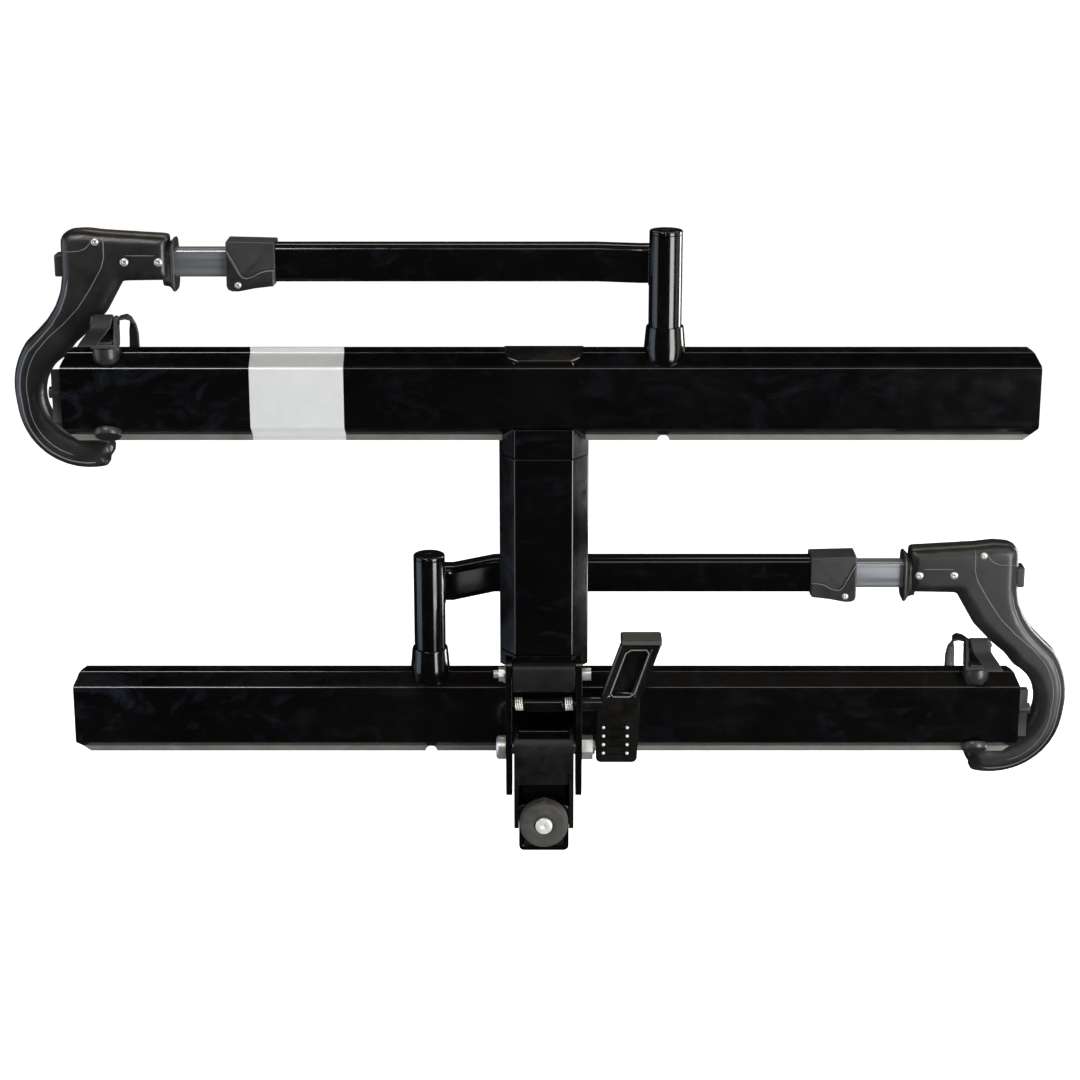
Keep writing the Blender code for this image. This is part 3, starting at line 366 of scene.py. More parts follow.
# ------------------------------------------------------------------ mesh helpers, in working millimetres
def arc(centre, radius, start, end, steps):
    """Points along an arc between two angles in degrees."""
    turns = [math.radians(start + (end - start) * i / steps) for i in range(steps + 1)]
    return [(centre[0] + radius * math.cos(t), centre[1] + radius * math.sin(t)) for t in turns]


def rounded(half_a, half_b, radius, steps=6, centre=(0.0, 0.0)):
    """Rounded rectangle, counter-clockwise."""
    points = []
    for sa, sb, start in ((1, 1, 0), (-1, 1, 90), (-1, -1, 180), (1, -1, 270)):
        corner = (centre[0] + sa * (half_a - radius), centre[1] + sb * (half_b - radius))
        points += arc(corner, radius, start, start + 90, steps)
    return points


def smooth_outline(points, rounds=2):
    """Cut the corners of a closed outline until it is a flowing curve."""
    for _ in range(rounds):
        cut = []
        for (ax, az), (bx, bz) in zip(points, points[1:] + points[:1]):
            cut.append((0.75 * ax + 0.25 * bx, 0.75 * az + 0.25 * bz))
            cut.append((0.25 * ax + 0.75 * bx, 0.25 * az + 0.75 * bz))
        points = cut
    return points


def inset(points, distance):
    """A counter-clockwise closed outline moved inwards."""
    moved = []
    for before, here, after in zip(points[-1:] + points[:-1], points, points[1:] + points[:1]):
        dx, dz = after[0] - before[0], after[1] - before[1]
        size = math.hypot(dx, dz) or 1.0
        moved.append((here[0] - dz / size * distance, here[1] + dx / size * distance))
    return moved


def from_bmesh(name, bm, material):
    """Object of one material from a finished bmesh, smooth shaded."""
    bmesh.ops.remove_doubles(bm, verts=bm.verts, dist=1e-6)
    bmesh.ops.recalc_face_normals(bm, faces=bm.faces)
    mesh = bpy.data.meshes.new(name)
    bm.to_mesh(mesh)
    bm.free()
    mesh.shade_smooth()
    obj = bpy.data.objects.new(name, mesh)
    bpy.context.scene.collection.objects.link(obj)
    mesh.materials.append(material)
    return obj


def skin(bm, rings, closed=False):
    """Side walls between rings of points, with end faces unless closed on itself."""
    rows = [[bm.verts.new(row(*point)) for point in ring] for ring in rings]
    count = len(rows[0])
    pairs = list(zip(rows, rows[1:] + rows[:1])) if closed else list(zip(rows, rows[1:]))
    for low, high in pairs:
        for i in range(count):
            j = (i + 1) % count
            bm.faces.new((low[i], low[j], high[j], high[i]))
    if not closed:
        bm.faces.new(list(reversed(rows[0])))
        bm.faces.new(rows[-1])


def loft(name, rings, material, closed=False):
    """Solid through rings that all have the same number of points."""
    bm = bmesh.new()
    skin(bm, rings, closed)
    return from_bmesh(name, bm, material)


def plate(name, outline, low, high, material, edge=1.0, segments=3):
    """Outline in the X-Z plane between two depths, its edges rounded."""
    obj = loft(name, [[(x, y, z) for x, z in outline] for y in (low, high)], material)
    if edge:
        bevel(obj, edge, segments)
    return obj


def bevel(obj, width, segments=3, angle=40.0):
    """Round the edges that turn by more than angle."""
    modifier = obj.modifiers.new("bevel", "BEVEL")
    modifier.width = width * MM
    modifier.segments = segments
    modifier.limit_method = "ANGLE"
    modifier.angle_limit = math.radians(angle)
    weigh_normals(obj)
    return obj


def weigh_normals(obj):
    modifier = obj.modifiers.new("normals", "WEIGHTED_NORMAL")
    modifier.keep_sharp = False
    modifier.weight = 80


def turned(name, centre, profile, material, sides=40):
    """Solid of revolution about the depth axis through (radius, depth), centre in the X-Z plane."""
    last = 360.0 * (sides - 1) / sides
    rings = []
    for radius, depth in profile:
        rings.append([(x, depth, z) for x, z in arc(centre, radius, 0.0, last, sides - 1)])
    return loft(name, rings, material)


def bake(obj):
    """Replace an object's mesh by what its modifiers make of it."""
    bpy.context.view_layer.update()
    mesh = bpy.data.meshes.new_from_object(obj.evaluated_get(bpy.context.evaluated_depsgraph_get()))
    obj.modifiers.clear()
    obj.data = mesh
    mesh.shade_smooth()
    return obj


def carve(obj, *tools):
    """Cut the tools out of obj, and delete them."""
    for tool in tools:
        modifier = obj.modifiers.new("carve", "BOOLEAN")
        modifier.operation = "DIFFERENCE"
        modifier.solver = "EXACT"
        modifier.object = tool
    bake(obj)
    for tool in tools:
        bpy.data.objects.remove(tool, do_unlink=True)
    return obj


def rod(name, points, radii, material, sides=8):
    """Tube of round section along points, one radius for each point."""
    rings = []
    vectors = [Vector(point) for point in points]
    up = Vector((0.0, 1.0, 0.0))
    for i, here in enumerate(vectors):
        along = (vectors[min(i + 1, len(vectors) - 1)] - vectors[max(i - 1, 0)]).normalized()
        across = along.cross(up)
        if across.length < 1e-3:
            across = along.cross(Vector((0.0, 0.0, 1.0)))
        across.normalize()
        other = across.cross(along)
        ring = []
        for k in range(sides):
            turn = 2 * math.pi * k / sides
            ring.append(tuple(here + radii[i] * (math.cos(turn) * across + math.sin(turn) * other)))
        rings.append(ring)
    return loft(name, rings, material)


def to_working(point):
    """A point of the row frame, in working millimetres."""
    return Vector(point) / MM + ORIGIN


def surface_depth(obj, x, z, front=-400.0):
    """Depth at which a look along +Y first meets obj."""
    hit, place, _, _ = obj.ray_cast(row(x, front, z), Vector((0.0, 1.0, 0.0)))
    return to_working(place).y if hit else None


def line_on(obj, name, points, radius, material, step=3.0):
    """Fine moulded line laid on the front of obj along points in the X-Z plane."""
    dense = []
    for (ax, az), (bx, bz) in zip(points, points[1:]):
        count = max(1, int(math.hypot(bx - ax, bz - az) / step))
        dense += [(ax + (bx - ax) * i / count, az + (bz - az) * i / count) for i in range(count)]
    dense.append(points[-1])
    found = []
    for x, z in dense:
        depth = surface_depth(obj, x, z)
        if depth is not None:
            found.append((x, depth, z))
    radii = [radius * min(1.0, 0.35 + 0.35 * min(i, len(found) - 1 - i)) for i in range(len(found))]
    return rod(name, found, radii, material)


# ------------------------------------------------------------------ finishing the CAD nodes
EDGE = {
    "gloss_black_steel": 0.9,
    "matte_black_steel": 0.6,
    "aluminium_bar": 0.5,
    "zinc_steel": 0.35,
    "grey_plastic": 0.8,
    "grip_rubber": 0.7,
    "silver_hub": 0.4,
}
WIDE_EDGE = {
    "spine_tube": 2.6,
    "spine_adapter": 2.6,
    "spine_end_cap": 1.6,
    "foot_lever": 1.2,
    "stinger_tube": 3.0,
}
SLOT_OF = {part["node"]: part["material_slot"] for part in frame["record"]["subparts"]}
BODY_OF = {node: body for body, members in frame["record"]["behaviour"]["bodies"].items() for node in members}


def round_edges(obj, width, segments=2, angle=32.0):
    """Weld the triangles, merge flat ones, round the edges and smooth the shading, all as modifiers."""
    weld = obj.modifiers.new("weld", "WELD")
    weld.merge_threshold = 1e-6
    flat = obj.modifiers.new("flat", "DECIMATE")
    flat.decimate_type = "DISSOLVE"
    flat.angle_limit = math.radians(0.8)
    rounding = obj.modifiers.new("bevel", "BEVEL")
    rounding.width = width * MM
    rounding.segments = segments
    rounding.limit_method = "ANGLE"
    rounding.angle_limit = math.radians(angle)
    weigh_normals(obj)


def dress_cad_nodes():
    """Give every CAD node its material and rounded edges."""
    for name, obj in NODES.items():
        kind = SLOT_OF[name]
        obj.data.materials.clear()
        obj.data.materials.append(SPECIAL.get(name, PAINT[kind]))
        round_edges(obj, WIDE_EDGE.get(name, EDGE[kind]))


def stand_for(obj, node, *others):
    """obj takes the place of CAD nodes and moves as the first of them does."""
    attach(obj, BODY_OF[node])
    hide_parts(node, *others)
    return obj


def add_to(obj, node):
    """obj is a detail on a CAD node, and moves with it."""
    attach(obj, BODY_OF[node])
    return obj


def limits(node):
    """Lowest and highest corner of a CAD node, in working millimetres."""
    low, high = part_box(node)
    return to_working(low), to_working(high)


# ------------------------------------------------------------------ trays
TRAY_FLOOR = 59.5
TRAY_LIP = 83.0
TRAY_WIDTH = 94.5
TRAY_RISE = 17.0
TRAY_SHEET = 3.0
TRAY_CORNER = 28.0       # how far the walls are cut back at the ends
FOLD_R = 4.5             # middle radius of the folds
POST_X = 118.4           # how far each arm's post stands from the spine's centre line
NOTCH_R = 6.0            # drain notch in the lower lip, under the post
GAP_FRONT = 29.5         # half width of the opening around the spine, at the front
GAP_BACK = 38.0          # and behind, where the sheet ends inside the spine's cap
TOOL_REACH = 80.0


def fillet(points, radius, steps=6):
    """Open line with its corners rounded, as (y, z, unit normal)."""
    line = [Vector(points[0])]
    for before, corner, after in zip(points, points[1:], points[2:]):
        corner = Vector(corner)
        a, b = (Vector(before) - corner).normalized(), (Vector(after) - corner).normalized()
        half = a.angle(b) / 2
        reach = radius / math.tan(half)
        start, end = corner + a * reach, corner + b * reach
        centre = corner + (a + b).normalized() * (radius / math.sin(half))
        for i in range(steps + 1):
            arm = (start - centre).lerp(end - centre, i / steps).normalized()
            line.append(centre + arm * radius)
    line.append(Vector(points[-1]))
    return line


def tray_section(y0, z0):
    """Closed section of the folded sheet as (y, z)."""
    mid = TRAY_SHEET / 2
    lip, half, wide = TRAY_LIP / 2 - 0.4, TRAY_FLOOR / 2 - 0.4, TRAY_WIDTH / 2
    back = TRAY_RISE + mid
    line = fillet([(back, wide), (back, lip), (mid, half), (mid, -half), (back, -lip), (back, -wide)], FOLD_R)
    front, rear = [], []
    for i, here in enumerate(line):
        along = (line[min(i + 1, len(line) - 1)] - line[max(i - 1, 0)]).normalized()
        normal = Vector((along.y, -along.x)) * mid
        front.append((y0 + here.x + normal.x, z0 + here.y + normal.y))
        rear.append((y0 + here.x - normal.x, z0 + here.y - normal.y))
    return front + rear[::-1]


def end_cut(up):
    """How far the sheet is cut back at this height above or below the middle."""
    share = max(0.0, (abs(up) - TRAY_FLOOR / 2 + 0.4) / (TRAY_WIDTH / 2 + 4.4 - TRAY_FLOOR / 2))
    return TRAY_CORNER * (1.0 - math.sqrt(max(0.0, 1.0 - share * share)))


def box_tool(x, y, z):
    """Block for carving, from three (low, high) pairs."""
    outline = [(x[0], z[0]), (x[1], z[0]), (x[1], z[1]), (x[0], z[1])]
    return plate("tool", outline, y[0], y[1], PAINT["zinc_steel"], 0)


def tray(where, material):
    """Folded tray with curved ends, a drain notch and, on the outer one, an opening for the spine."""
    low, high = limits("tray_" + where)
    y0, z0 = low.y, (low.z + high.z) / 2
    section = tray_section(y0, z0)
    stations = 9
    rings = []
    for k in range(stations):
        share = k / (stations - 1)
        ring = []
        for y, z in section:
            cut = end_cut(z - z0)
            ring.append((low.x + cut + (high.x - low.x - 2 * cut) * share, y, z))
        rings.append(ring)
    shell = loft("tray_shell_" + where, rings, material)
    x = -SIDE[where] * POST_X
    through = [(NOTCH_R, y0 + 10.0), (NOTCH_R, y0 + 40.0)]
    tools = [turned("tool", (x, z0 - TRAY_WIDTH / 2 - 0.4), through, material, 24)]
    if where == "outer":
        gap = [(-GAP_FRONT, 3.2), (GAP_FRONT, 3.2), (GAP_BACK, 16.0)]
        gap += [(GAP_BACK, 60.0), (-GAP_BACK, 60.0), (-GAP_BACK, 16.0)]
        ends = (z0 - TOOL_REACH, z0 + TOOL_REACH)
        tools.append(loft("tool", [[(x, y, z) for x, y in gap] for z in ends], material))
    carve(shell, *tools)
    bevel(shell, 0.7, 2, 50.0)
    stand_for(shell, "tray_" + where)


# ------------------------------------------------------------------ hooks
HOOK_OUTER = ((75.8, -129.9), 82.7)     # circle of the back of the hook: centre, radius
HOOK_INNER = ((83.3, -138.7), 45.6)     # circle of the throat
HOOK_HALF = 17.0                        # half thickness
HOOK_LAYERS = ((0.0, 9.0), (1.6, 12.5), (4.2, 15.2), (8.5, HOOK_HALF))    # inset of the outline, half depth
HOOK_VOXEL = 1.5
HOOK_SCALE = {"outer": (0.994, 0.98), "inner": (1.08, 1.045)}             # outward, upward
HOOK_UP = 2.5                           # how far the hook's own axis lies above the bar's
HOOK_BULGE = 6.5                        # how far the back is drawn out below
FLANGE_REACH = 8.5                      # the flange stands this far in from the hook's own origin
POCKET_IN, POCKET_OUT = 6.5, 20.0       # room cut for the button, inwards and outwards


def hook_back(start, end, steps, inward=0.0):
    """Outer edge of the hook from one angle to another: a circle drawn out a little below."""
    (cu, cw), radius = HOOK_OUTER
    points = []
    for i in range(steps + 1):
        degrees = start + (end - start) * i / steps
        share = min(1.0, max(0.0, (-12.0 - degrees) / 90.0))
        reach = radius - inward + HOOK_BULGE * math.sin(math.pi * share)
        turn = math.radians(degrees)
        points.append((cu + reach * math.cos(turn), cw + reach * math.sin(turn)))
    return points


def hook_outline():
    """Hook in its own plane as (outward, up) from the flange on the arm's axis.

    It runs counter-clockwise when outward is +X.
    """
    neck_in = [(-2.0, -20.0), (45.0, -21.0), (63.3, -54.2), (81.1, -73.4), (95.0, -85.5)]
    throat = arc(HOOK_INNER[0], HOOK_INNER[1], 62, -96, 14)
    tip = [(66.0, -187.0), (61.8, -193.0), (62.0, -200.5), (67.5, -206.6)]
    neck_out = [(132.0, -71.5), (121.6, -60.0), (113.0, -46.5), (107.4, -32.0), (105.0, -17.0)]
    head = [(104.4, 21.0), (101.5, 27.0), (94.0, 30.6), (80.0, 31.6), (62.0, 29.4), (-2.0, 25.4)]
    return neck_in + throat + tip + hook_back(-96, 34, 18) + neck_out + head


RIM_LINE = hook_back(-88, 30, 26, 7.5)
RIM_LINE += [(126.4, -76.6), (115.6, -64.4), (106.6, -49.8), (100.5, -34.0), (97.5, -19.0)]
SEAM_LINE = [(60.5, 26.5), (60.5, 5.0), (63.5, -6.0), (76.0, -28.0), (88.5, -47.0)]
SEAM_LINE += [(103.0, -62.5), (120.0, -77.5)] + hook_back(34, -70, 20, 14.5)
HEAD_LINE = [(71.0, 24.0), (74.0, 18.0), (78.5, 13.5), (85.0, 11.0), (101.0, 10.0)]
RIVET_LINE = [(10.0, 6.4), (40.0, 6.4)]
HOOK_LINES = (("rim", RIM_LINE, 0.75), ("seam", SEAM_LINE, 0.5), ("head_line", HEAD_LINE, 0.4),
              ("rivet_line", RIVET_LINE, 0.5))
HEAD_PIN = (68.5, 20.4)


def hook(where):
    """Wheel hook melted together from layers, with raised lines, a flange and a pin in its head."""
    side = SIDE[where]
    out, up = HOOK_SCALE[where]
    low, high = limits("hook_" + where)
    depth = (low.y + high.y) / 2
    arm_low, arm_high = limits("inner_bar_" + where)
    axis = (arm_low.z + arm_high.z) / 2
    base = (high.x if side < 0 else low.x) + side * FLANGE_REACH

    def place(points):
        return [(base + side * out * u, axis + HOOK_UP + up * w) for u, w in points]

    plastic = PAINT["grey_plastic"]
    outline = hook_outline()
    bm = bmesh.new()
    for shrink, half in HOOK_LAYERS:
        layer = place(inset(outline, shrink))
        skin(bm, [[(x, y, z) for x, z in layer] for y in (depth - half, depth + half)])
    core = from_bmesh("hook_shell_" + where, bm, plastic)
    remesh = core.modifiers.new("remesh", "REMESH")
    remesh.mode = "VOXEL"
    remesh.voxel_size = HOOK_VOXEL * MM
    ease = core.modifiers.new("ease", "SMOOTH")
    ease.factor = 0.5
    ease.iterations = 22
    bake(core)
    button_low, button_high = limits("hook_button_" + where)
    if side > 0:
        reach = (button_low.x - POCKET_IN, button_high.x + POCKET_OUT)
    else:
        reach = (button_low.x - POCKET_OUT, button_high.x + POCKET_IN)
    carve(core, box_tool(reach, (depth - 9.6, depth + 9.6), (button_low.z - 0.6, button_high.z + 0.6)))
    stand_for(core, "hook_" + where)
    # The raised lines are light grey plastic, a painted highlight along the ridges.
    for name, points, radius in HOOK_LINES:
        add_to(line_on(core, f"hook_{name}_{where}", place(points), radius, HIGHLIGHT_PLASTIC), "hook_" + where)
    flange(where, base, depth, axis)
    centre = place([HEAD_PIN])[0]
    front = surface_depth(core, *centre)
    add_to(pin_head("hook_pin_" + where, centre, front, 3.9), "rivet_near_" + where)


def flange(where, base, depth, axis):
    """Thin flared plate at the mouth of the hook."""
    side = SIDE[where]
    rings = []
    flare = ((4.0, -5.0), (-1.5, -4.2), (-4.0, -2.4), (-5.6, -0.4), (-7.2, 0.2), (-8.2, -0.2), (-8.5, -1.2))
    for u, grow in flare:
        ring = rounded(HOOK_HALF + 1.0 + grow, 26.0 + grow, 10.0, 6, (depth, axis - 2.5))
        rings.append([(base + side * u, y, z) for y, z in ring])
    add_to(loft("hook_flange_" + where, rings, PAINT["grey_plastic"]), "hook_" + where)


def pin_head(name, centre, front, radius):
    """Domed head with a small hole in the middle."""
    hole = radius * 0.24
    profile = [(radius * 0.9, front + 2.5), (radius, front - 0.2), (radius * 0.94, front - 0.8)]
    profile += [(radius * 0.7, front - 1.4), (radius * 0.42, front - 1.7)]
    profile += [(hole, front - 1.75), (hole * 0.9, front + 0.4)]
    return turned(name, centre, profile, PAINT["zinc_steel"], 32)


def rivets(where):
    """Two rivets through the hook's head, each a domed head in front and a shank with a foot behind."""
    for which in ("near", "far"):
        node = f"rivet_{which}_{where}"
        low, high = limits(node)
        centre = ((low.x + high.x) / 2, (low.z + high.z) / 2)
        shank = pin_head("rivet_shank_" + which + "_" + where, centre, low.y + 1.2, 4.3)
        bm = bmesh.new()
        bm.from_mesh(shank.data)
        profile = [(2.0, low.y + 3.0), (2.0, high.y - 1.4), (4.2, high.y - 1.4)]
        profile += [(3.8, high.y - 0.4), (2.0, high.y)]
        rings = []
        for radius, depth in profile:
            rings.append([(x, depth, z) for x, z in arc(centre, radius, 0.0, 348.75, 31)])
        skin(bm, rings)
        bmesh.ops.recalc_face_normals(bm, faces=bm.faces)
        bm.to_mesh(shank.data)
        bm.free()
        stand_for(shank, node)


# ------------------------------------------------------------------ collar levers and buckles
# Outline of the collar lever, as (outward, up) from the collar's end on the bar's axis.
LEVER_TOP = [(0.0, 14.9), (-3.5, 8.8), (-9.0, -1.5), (-13.0, -9.6), (-16.0, -12.6), (-20.0, -13.3)]
LEVER_TOP += [(-26.0, -11.4), (-33.0, -7.4), (-40.0, -5.6), (-47.0, -5.2)]
LEVER_BOTTOM = [(-47.0, -21.6), (-38.0, -22.6), (-28.0, -23.8), (-16.0, -26.2)]
LEVER_BOTTOM += [(-11.0, -27.0), (-5.0, -26.8), (-1.6, -25.2), (0.0, -22.0)]
LEVER_HALF = 18.0
LEVER_PIN = (11.5, -20.3)
# Course of the buckle lever, as (depth and height from the tray, thickness, sideways skew).
FLAP_PATH = [(15.5, 66.5, 3.5, 0.0), (15.0, 76.0, 4.0, 0.0), (9.0, 80.0, 4.4, 0.0), (2.5, 77.0, 4.4, 0.6)]
FLAP_PATH += [(-1.0, 71.5, 3.2, 1.6), (-5.0, 67.5, 2.0, 4.0), (-13.5, 62.0, 1.7, 8.5)]
FLAP_PATH += [(-21.0, 56.6, 1.4, 12.0)]
FLAP_HALF = 9.2
FLAP_PIN = (14.6, 12.0, 73.0)              # half length, and depth and height from the tray


def collar_lever(where):
    """Lever that wraps the underside of the collar, with a raised lip, light grey as a painted highlight,
    along its top edge.
    """
    side = SIDE[where]
    low, high = limits("collar_" + where)
    depth = (low.y + high.y) / 2
    end = high.x if side > 0 else low.x
    arm_low, arm_high = limits("inner_bar_" + where)
    axis = (arm_low.z + arm_high.z) / 2
    outline = [(end + side * u, axis + w) for u, w in LEVER_TOP + LEVER_BOTTOM]
    front, back = depth - LEVER_HALF, depth + LEVER_HALF
    shell = plate("collar_grip_" + where, outline, front, back, PAINT["grey_plastic"], 1.6, 3)
    stand_for(shell, "collar_lever_" + where)
    # The lip is light grey, a painted highlight along the lever's top edge.
    lip = [(end + side * (u - 0.6), depth - 17.4, axis + w - 0.6) for u, w in LEVER_TOP]
    add_to(rod("collar_highlight_lip_" + where, lip, [0.6] * len(lip), HIGHLIGHT_PLASTIC), "collar_lever_" + where)
    centre = (end - side * LEVER_PIN[0], axis + LEVER_PIN[1])
    add_to(pin_head("collar_pin_" + where, centre, front, 3.5), "collar_lever_" + where)


def buckle(where):
    """Moulded buckle lever with a skewed thumb flap."""
    side = SIDE[where]
    body_low, body_high = limits("buckle_body_" + where)
    middle = (body_low.x + body_high.x) / 2
    tray_low, tray_high = limits("tray_" + where)
    y0, z0 = tray_low.y, (tray_low.z + tray_high.z) / 2
    corners = ((-FLAP_HALF, 1), (FLAP_HALF, 1), (FLAP_HALF, -1), (-FLAP_HALF, -1))
    rings = []
    for i, (y, z, thick, skew) in enumerate(FLAP_PATH):
        before, after = FLAP_PATH[max(i - 1, 0)], FLAP_PATH[min(i + 1, len(FLAP_PATH) - 1)]
        dy, dz = after[0] - before[0], after[1] - before[1]
        size = math.hypot(dy, dz)
        ny, nz = -dz / size * thick / 2, dy / size * thick / 2
        x = middle + side * skew
        rings.append([(x + across, y0 + y + up * ny, z0 + z + up * nz) for across, up in corners])
    flap = bevel(loft("buckle_flap_" + where, rings, NYLON), 0.6, 2, 50.0)
    stand_for(flap, "buckle_lever_" + where)
    reach, deep, up = FLAP_PIN
    ends = [(middle - reach, y0 + deep, z0 + up), (middle + reach, y0 + deep, z0 + up)]
    pin = rod("buckle_pin_" + where, ends, [2.3, 2.3], PAINT["matte_black_steel"], 20)
    add_to(bevel(pin, 0.4, 2), "buckle_lever_" + where)


# ------------------------------------------------------------------ welds, knob and small hardware
def weld_bead(where):
    """Rippled bead where the arm tube meets its post."""
    side = SIDE[where]
    cap_low, cap_high = limits("post_cap_" + where)
    px, py = (cap_low.x + cap_high.x) / 2, (cap_low.y + cap_high.y) / 2
    bar_low, bar_high = limits("inner_bar_" + where)
    axis, radius = (bar_low.z + bar_high.z) / 2, 16.3
    front = py + 7.5
    points = []
    depths = [front + 8.2 - 8.2 * i / 6 for i in range(7)]
    path = [(depth, -18.6) for depth in depths]
    path += [(front - 0.2, -17.0 + 34.0 * i / 22) for i in range(23)]
    path += [(depth, 18.6) for depth in depths[::-1]]
    for depth, up in path:
        reach = math.sqrt(max(0.0, radius ** 2 - (depth - py) ** 2))
        points.append((px + side * (reach + 0.4), depth, axis + up))
    radii = [1.7 + 0.35 * math.sin(2.2 * i) for i in range(len(points))]
    add_to(rod("weld_bead_" + where, points, radii, PAINT["gloss_black_steel"], 10), "arm_frame_" + where)


def knob():
    """Rubber knob with a dished face and a locating nub, around a satin hub with a small hole."""
    low, high = limits("knob")
    centre = ((low.x + high.x) / 2, (low.z + high.z) / 2)
    front, radius = low.y, (high.x - low.x) / 2
    profile = [(radius - 3.0, high.y), (radius - 0.6, high.y - 1.0), (radius, high.y - 2.6)]
    profile += [(radius, front + 3.4), (radius - 0.5, front + 2.0), (radius - 1.6, front + 0.9)]
    profile += [(radius - 3.4, front + 0.1)]
    profile += [(radius - 5.0, front), (13.5, front + 0.9), (10.4, front + 1.1), (9.4, front + 2.6)]
    shell = turned("knob_grip", centre, profile, PAINT["grip_rubber"], 72)
    stand_for(shell, "knob")
    middle, top = centre[0], centre[1] + radius
    outline = [(middle - 4.2, top - 1.4), (middle + 4.2, top - 1.4)]
    outline += [(middle + 2.2, top + 1.2), (middle - 2.2, top + 1.2)]
    nub = plate("knob_nub", smooth_outline(outline), front + 3.0, high.y - 3.0, PAINT["grip_rubber"], 0.8)
    add_to(nub, "knob")
    hub_low, hub_high = limits("knob_hub")
    radius, face = (hub_high.x - hub_low.x) / 2, hub_low.y
    profile = [(radius, hub_high.y), (radius, face + 0.9), (radius - 0.9, face), (radius * 0.42, face + 0.25)]
    profile += [(1.9, face + 0.5), (1.8, face + 2.6)]
    stand_for(turned("knob_cap", centre, profile, PAINT["silver_hub"], 48), "knob_hub")


STUD_X = (60.5, 84.5)                      # the two rows of pale studs on the foot lever's pad, painted glints
STUD_FIRST, STUD_STEP = 10.6, 9.3          # heights above the pad's lower edge
LEVER_WINDOW = ((65.9, 61.0), (90.6, 61.0), (107.1, 111.0), (83.5, 111.0))
WINDOW_CORNER = 4.0


def lever_glint_studs():
    """Pale satin domes at both ends of the grooves of the foot lever's pad: painted glints where the groove
    ends would catch the light.
    """
    low, _ = limits("foot_lever")
    front = surface_depth(NODES["foot_lever"], low.x + 36.0, low.z + 5.0)
    for i in range(4):
        for x in STUD_X:
            centre = (x, low.z + STUD_FIRST + STUD_STEP * i)
            profile = [(1.7, front + 1.0), (1.7, front - 0.3), (1.2, front - 0.9), (0.4, front - 1.1)]
            # Silver domes as painted glints.
            stud = turned(f"lever_glint_stud_{i}_{int(x)}", centre, profile, PAINT["silver_hub"], 16)
            add_to(stud, "foot_lever")


def lever_highlight_rim():
    """Raised rim around the pocket in the foot lever's arm, light grey as a painted highlight along the
    pocket's border.
    """
    low, _ = limits("foot_lever")
    corners = [Vector(corner) for corner in LEVER_WINDOW]
    ring = []
    for before, corner, after in zip(corners[-1:] + corners[:-1], corners, corners[1:] + corners[:1]):
        ring.append(tuple(corner + (before - corner).normalized() * WINDOW_CORNER))
        ring.append(tuple(corner + (after - corner).normalized() * WINDOW_CORNER))
    section = ((0.9, 3.8), (-0.8, 3.8), (-0.6, 3.2), (0.3, 3.2))
    layers = [[(x, low.y + depth, z) for x, z in inset(ring, shift)] for shift, depth in section]
    add_to(loft("lever_highlight_rim", layers, HIGHLIGHT_PLASTIC, closed=True), "foot_lever")


def lever_tread():
    """Rubber plate on top of the foot lever."""
    low, high = limits("foot_lever")
    outline = rounded(20.0, 2.6, 1.2, 3, (high.x - 20.5, high.z - 2.4))
    add_to(plate("lever_tread", outline, low.y - 0.2, low.y + 25.6, PAINT["grip_rubber"], 1.0), "foot_lever")


dress_cad_nodes()
tray("outer", paint_with_band("tray_paint_banded", row_z(TRAY_Z["outer"] - LIP_REFLECTION_DROP), *BAND).material)
tray("inner", tray_paint("tray_paint", row_z(TRAY_Z["inner"] - LIP_REFLECTION_DROP)).material)
for which in ("outer", "inner"):
    hook(which)
    rivets(which)
    collar_lever(which)
    buckle(which)
    weld_bead(which)
knob()
lever_glint_studs()
lever_highlight_rim()
lever_tread()


# ------------------------------------------------------------------ floor, light and camera
FLOOR_Z = -0.42          # metres


def floor():
    """Pale seamless floor, some way under the rack, which hangs from a hitch."""
    bm = bmesh.new()
    bmesh.ops.create_circle(bm, cap_ends=True, radius=40.0, segments=64)
    mesh = bpy.data.meshes.new("studio_floor")
    bm.to_mesh(mesh)
    bm.free()
    obj = bpy.data.objects.new("studio_floor", mesh)
    obj.location.z = FLOOR_Z
    bpy.context.scene.collection.objects.link(obj)
    s = Shader("studio_white")
    s.set(base_color=(0.85, 0.85, 0.85), roughness=0.9, emission_color=(1.0, 1.0, 1.0), emission_strength=1.0,
          specular_ior_level=0.0)
    mesh.materials.append(s.material)
    obj.visible_glossy = False


def area_light(name, at, aim, size, power, colour=(1.0, 1.0, 1.0)):
    """Rectangular light at one point, looking at another; metres and watts."""
    data = bpy.data.lights.new(name, "AREA")
    data.shape = "RECTANGLE"
    data.size, data.size_y = size
    data.energy = power
    data.color = colour
    obj = bpy.data.objects.new(name, data)
    obj.location = at
    obj.rotation_euler = (Vector(aim) - Vector(at)).to_track_quat("-Z", "Y").to_euler()
    bpy.context.scene.collection.objects.link(obj)


def softbox(name, azimuth, distance, size, low, high, power, colour=(1.0, 1.0, 1.0)):
    """Upright light facing the rack, azimuth in degrees from the front towards the rack's right."""
    turn = math.radians(azimuth)
    x, y, z = distance * math.sin(turn), -distance * math.cos(turn) - 0.15, (low + high) / 2
    area_light(name, (x, y, z), (0.0, -0.15, z), (size, high - low), power, colour)


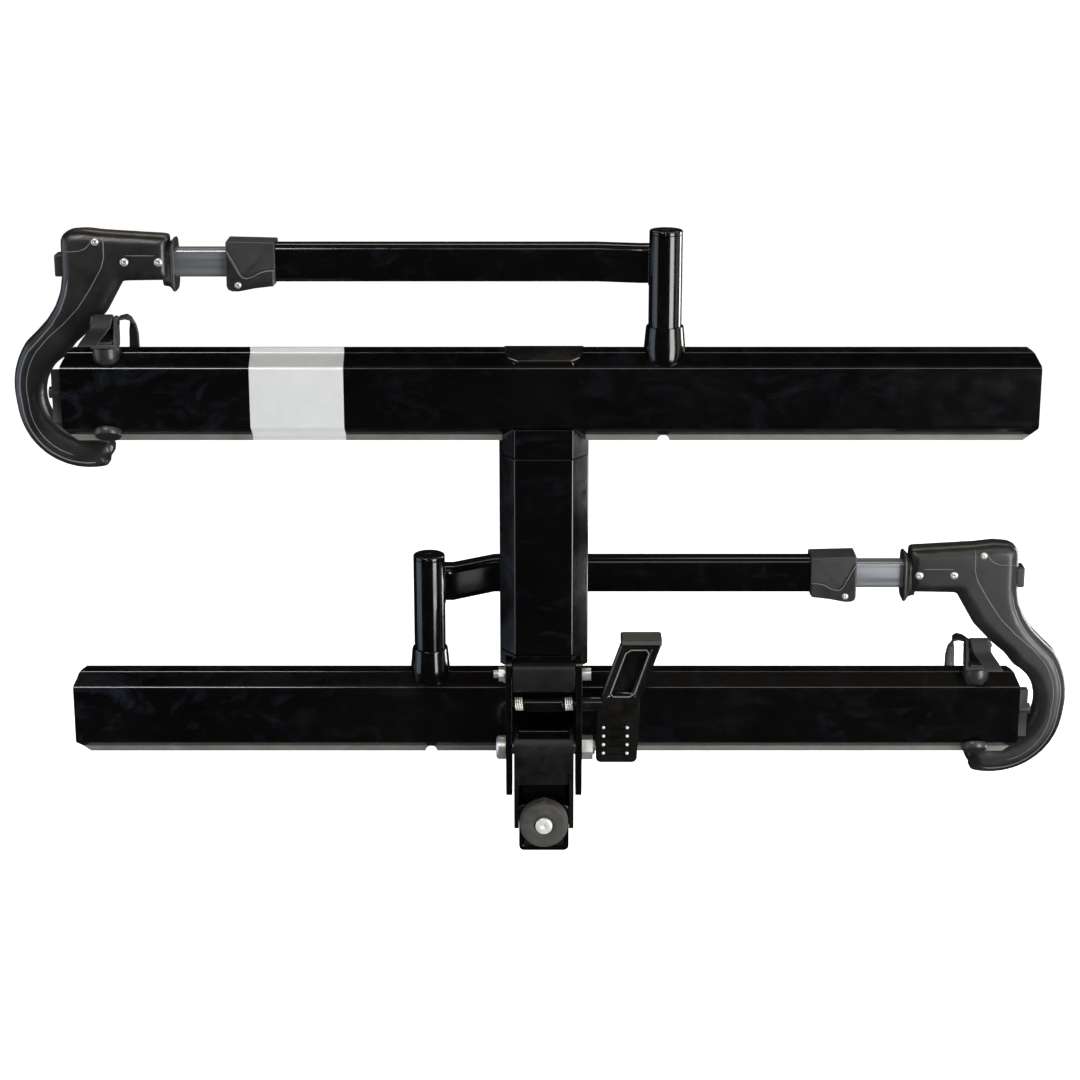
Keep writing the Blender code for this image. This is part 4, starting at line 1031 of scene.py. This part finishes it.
def lights():
    """Key and rim from the right, a cool fill from the left, and warm light from above and behind."""
    softbox("key_right", 43.0, 3.0, 1.4, -0.9, 1.5, 120.0)
    softbox("rim_right", 118.0, 2.6, 0.7, -0.7, 1.2, 60.0)
    softbox("fill_left", -80.0, 2.8, 2.2, -0.9, 1.4, 30.0, (0.72, 0.84, 1.0))
    softbox("glow_right", 84.0, 2.8, 1.0, -0.9, 1.2, 7.0, (1.0, 0.80, 0.62))
    middle = (0.0, -0.15, 0.38)
    area_light("front_left", (-1.15, -2.3, 2.6), middle, (1.3, 0.5), 42.0, (1.0, 0.98, 0.95))
    area_light("front_right", (0.9, -2.3, 2.6), middle, (2.4, 0.5), 14.0, (1.0, 0.98, 0.95))
    area_light("glow_top", (0.0, -0.7, 3.0), middle, (3.6, 1.2), 2.2, (1.0, 0.80, 0.60))
    area_light("back_high", (0.3, 1.4, 2.4), middle, (2.6, 0.8), 22.0, (1.0, 0.88, 0.76))


def world():
    """Nearly dark, so that the gloss paint stays black between the lights' reflections."""
    scene = bpy.context.scene
    scene.world = bpy.data.worlds.new("studio")
    scene.world.use_nodes = True
    background = scene.world.node_tree.nodes["Background"]
    background.inputs["Color"].default_value = (0.9, 0.95, 1.0, 1.0)
    background.inputs["Strength"].default_value = 0.02


FOCAL = 73.33            # mm on a 36 mm sensor
CAMERA_PITCH = 14.5      # degrees below level
CAMERA_AT = (-3.94, -2088.7, 897.9)
CAMERA_SHIFT = -0.12     # the lens axis lies above the middle of the frame


def camera():
    """Level-headed camera in front of the rack, looking slightly down."""
    data = bpy.data.cameras.new("camera")
    data.lens = FOCAL
    data.sensor_width = 36.0
    data.shift_y = CAMERA_SHIFT
    obj = bpy.data.objects.new("camera", data)
    obj.location = row(*CAMERA_AT)
    obj.rotation_euler = (math.radians(90.0 - CAMERA_PITCH), 0.0, 0.0)
    bpy.context.scene.collection.objects.link(obj)
    bpy.context.scene.camera = obj


floor()
lights()
world()
camera()
bpy.context.scene.view_settings.view_transform = "Standard"
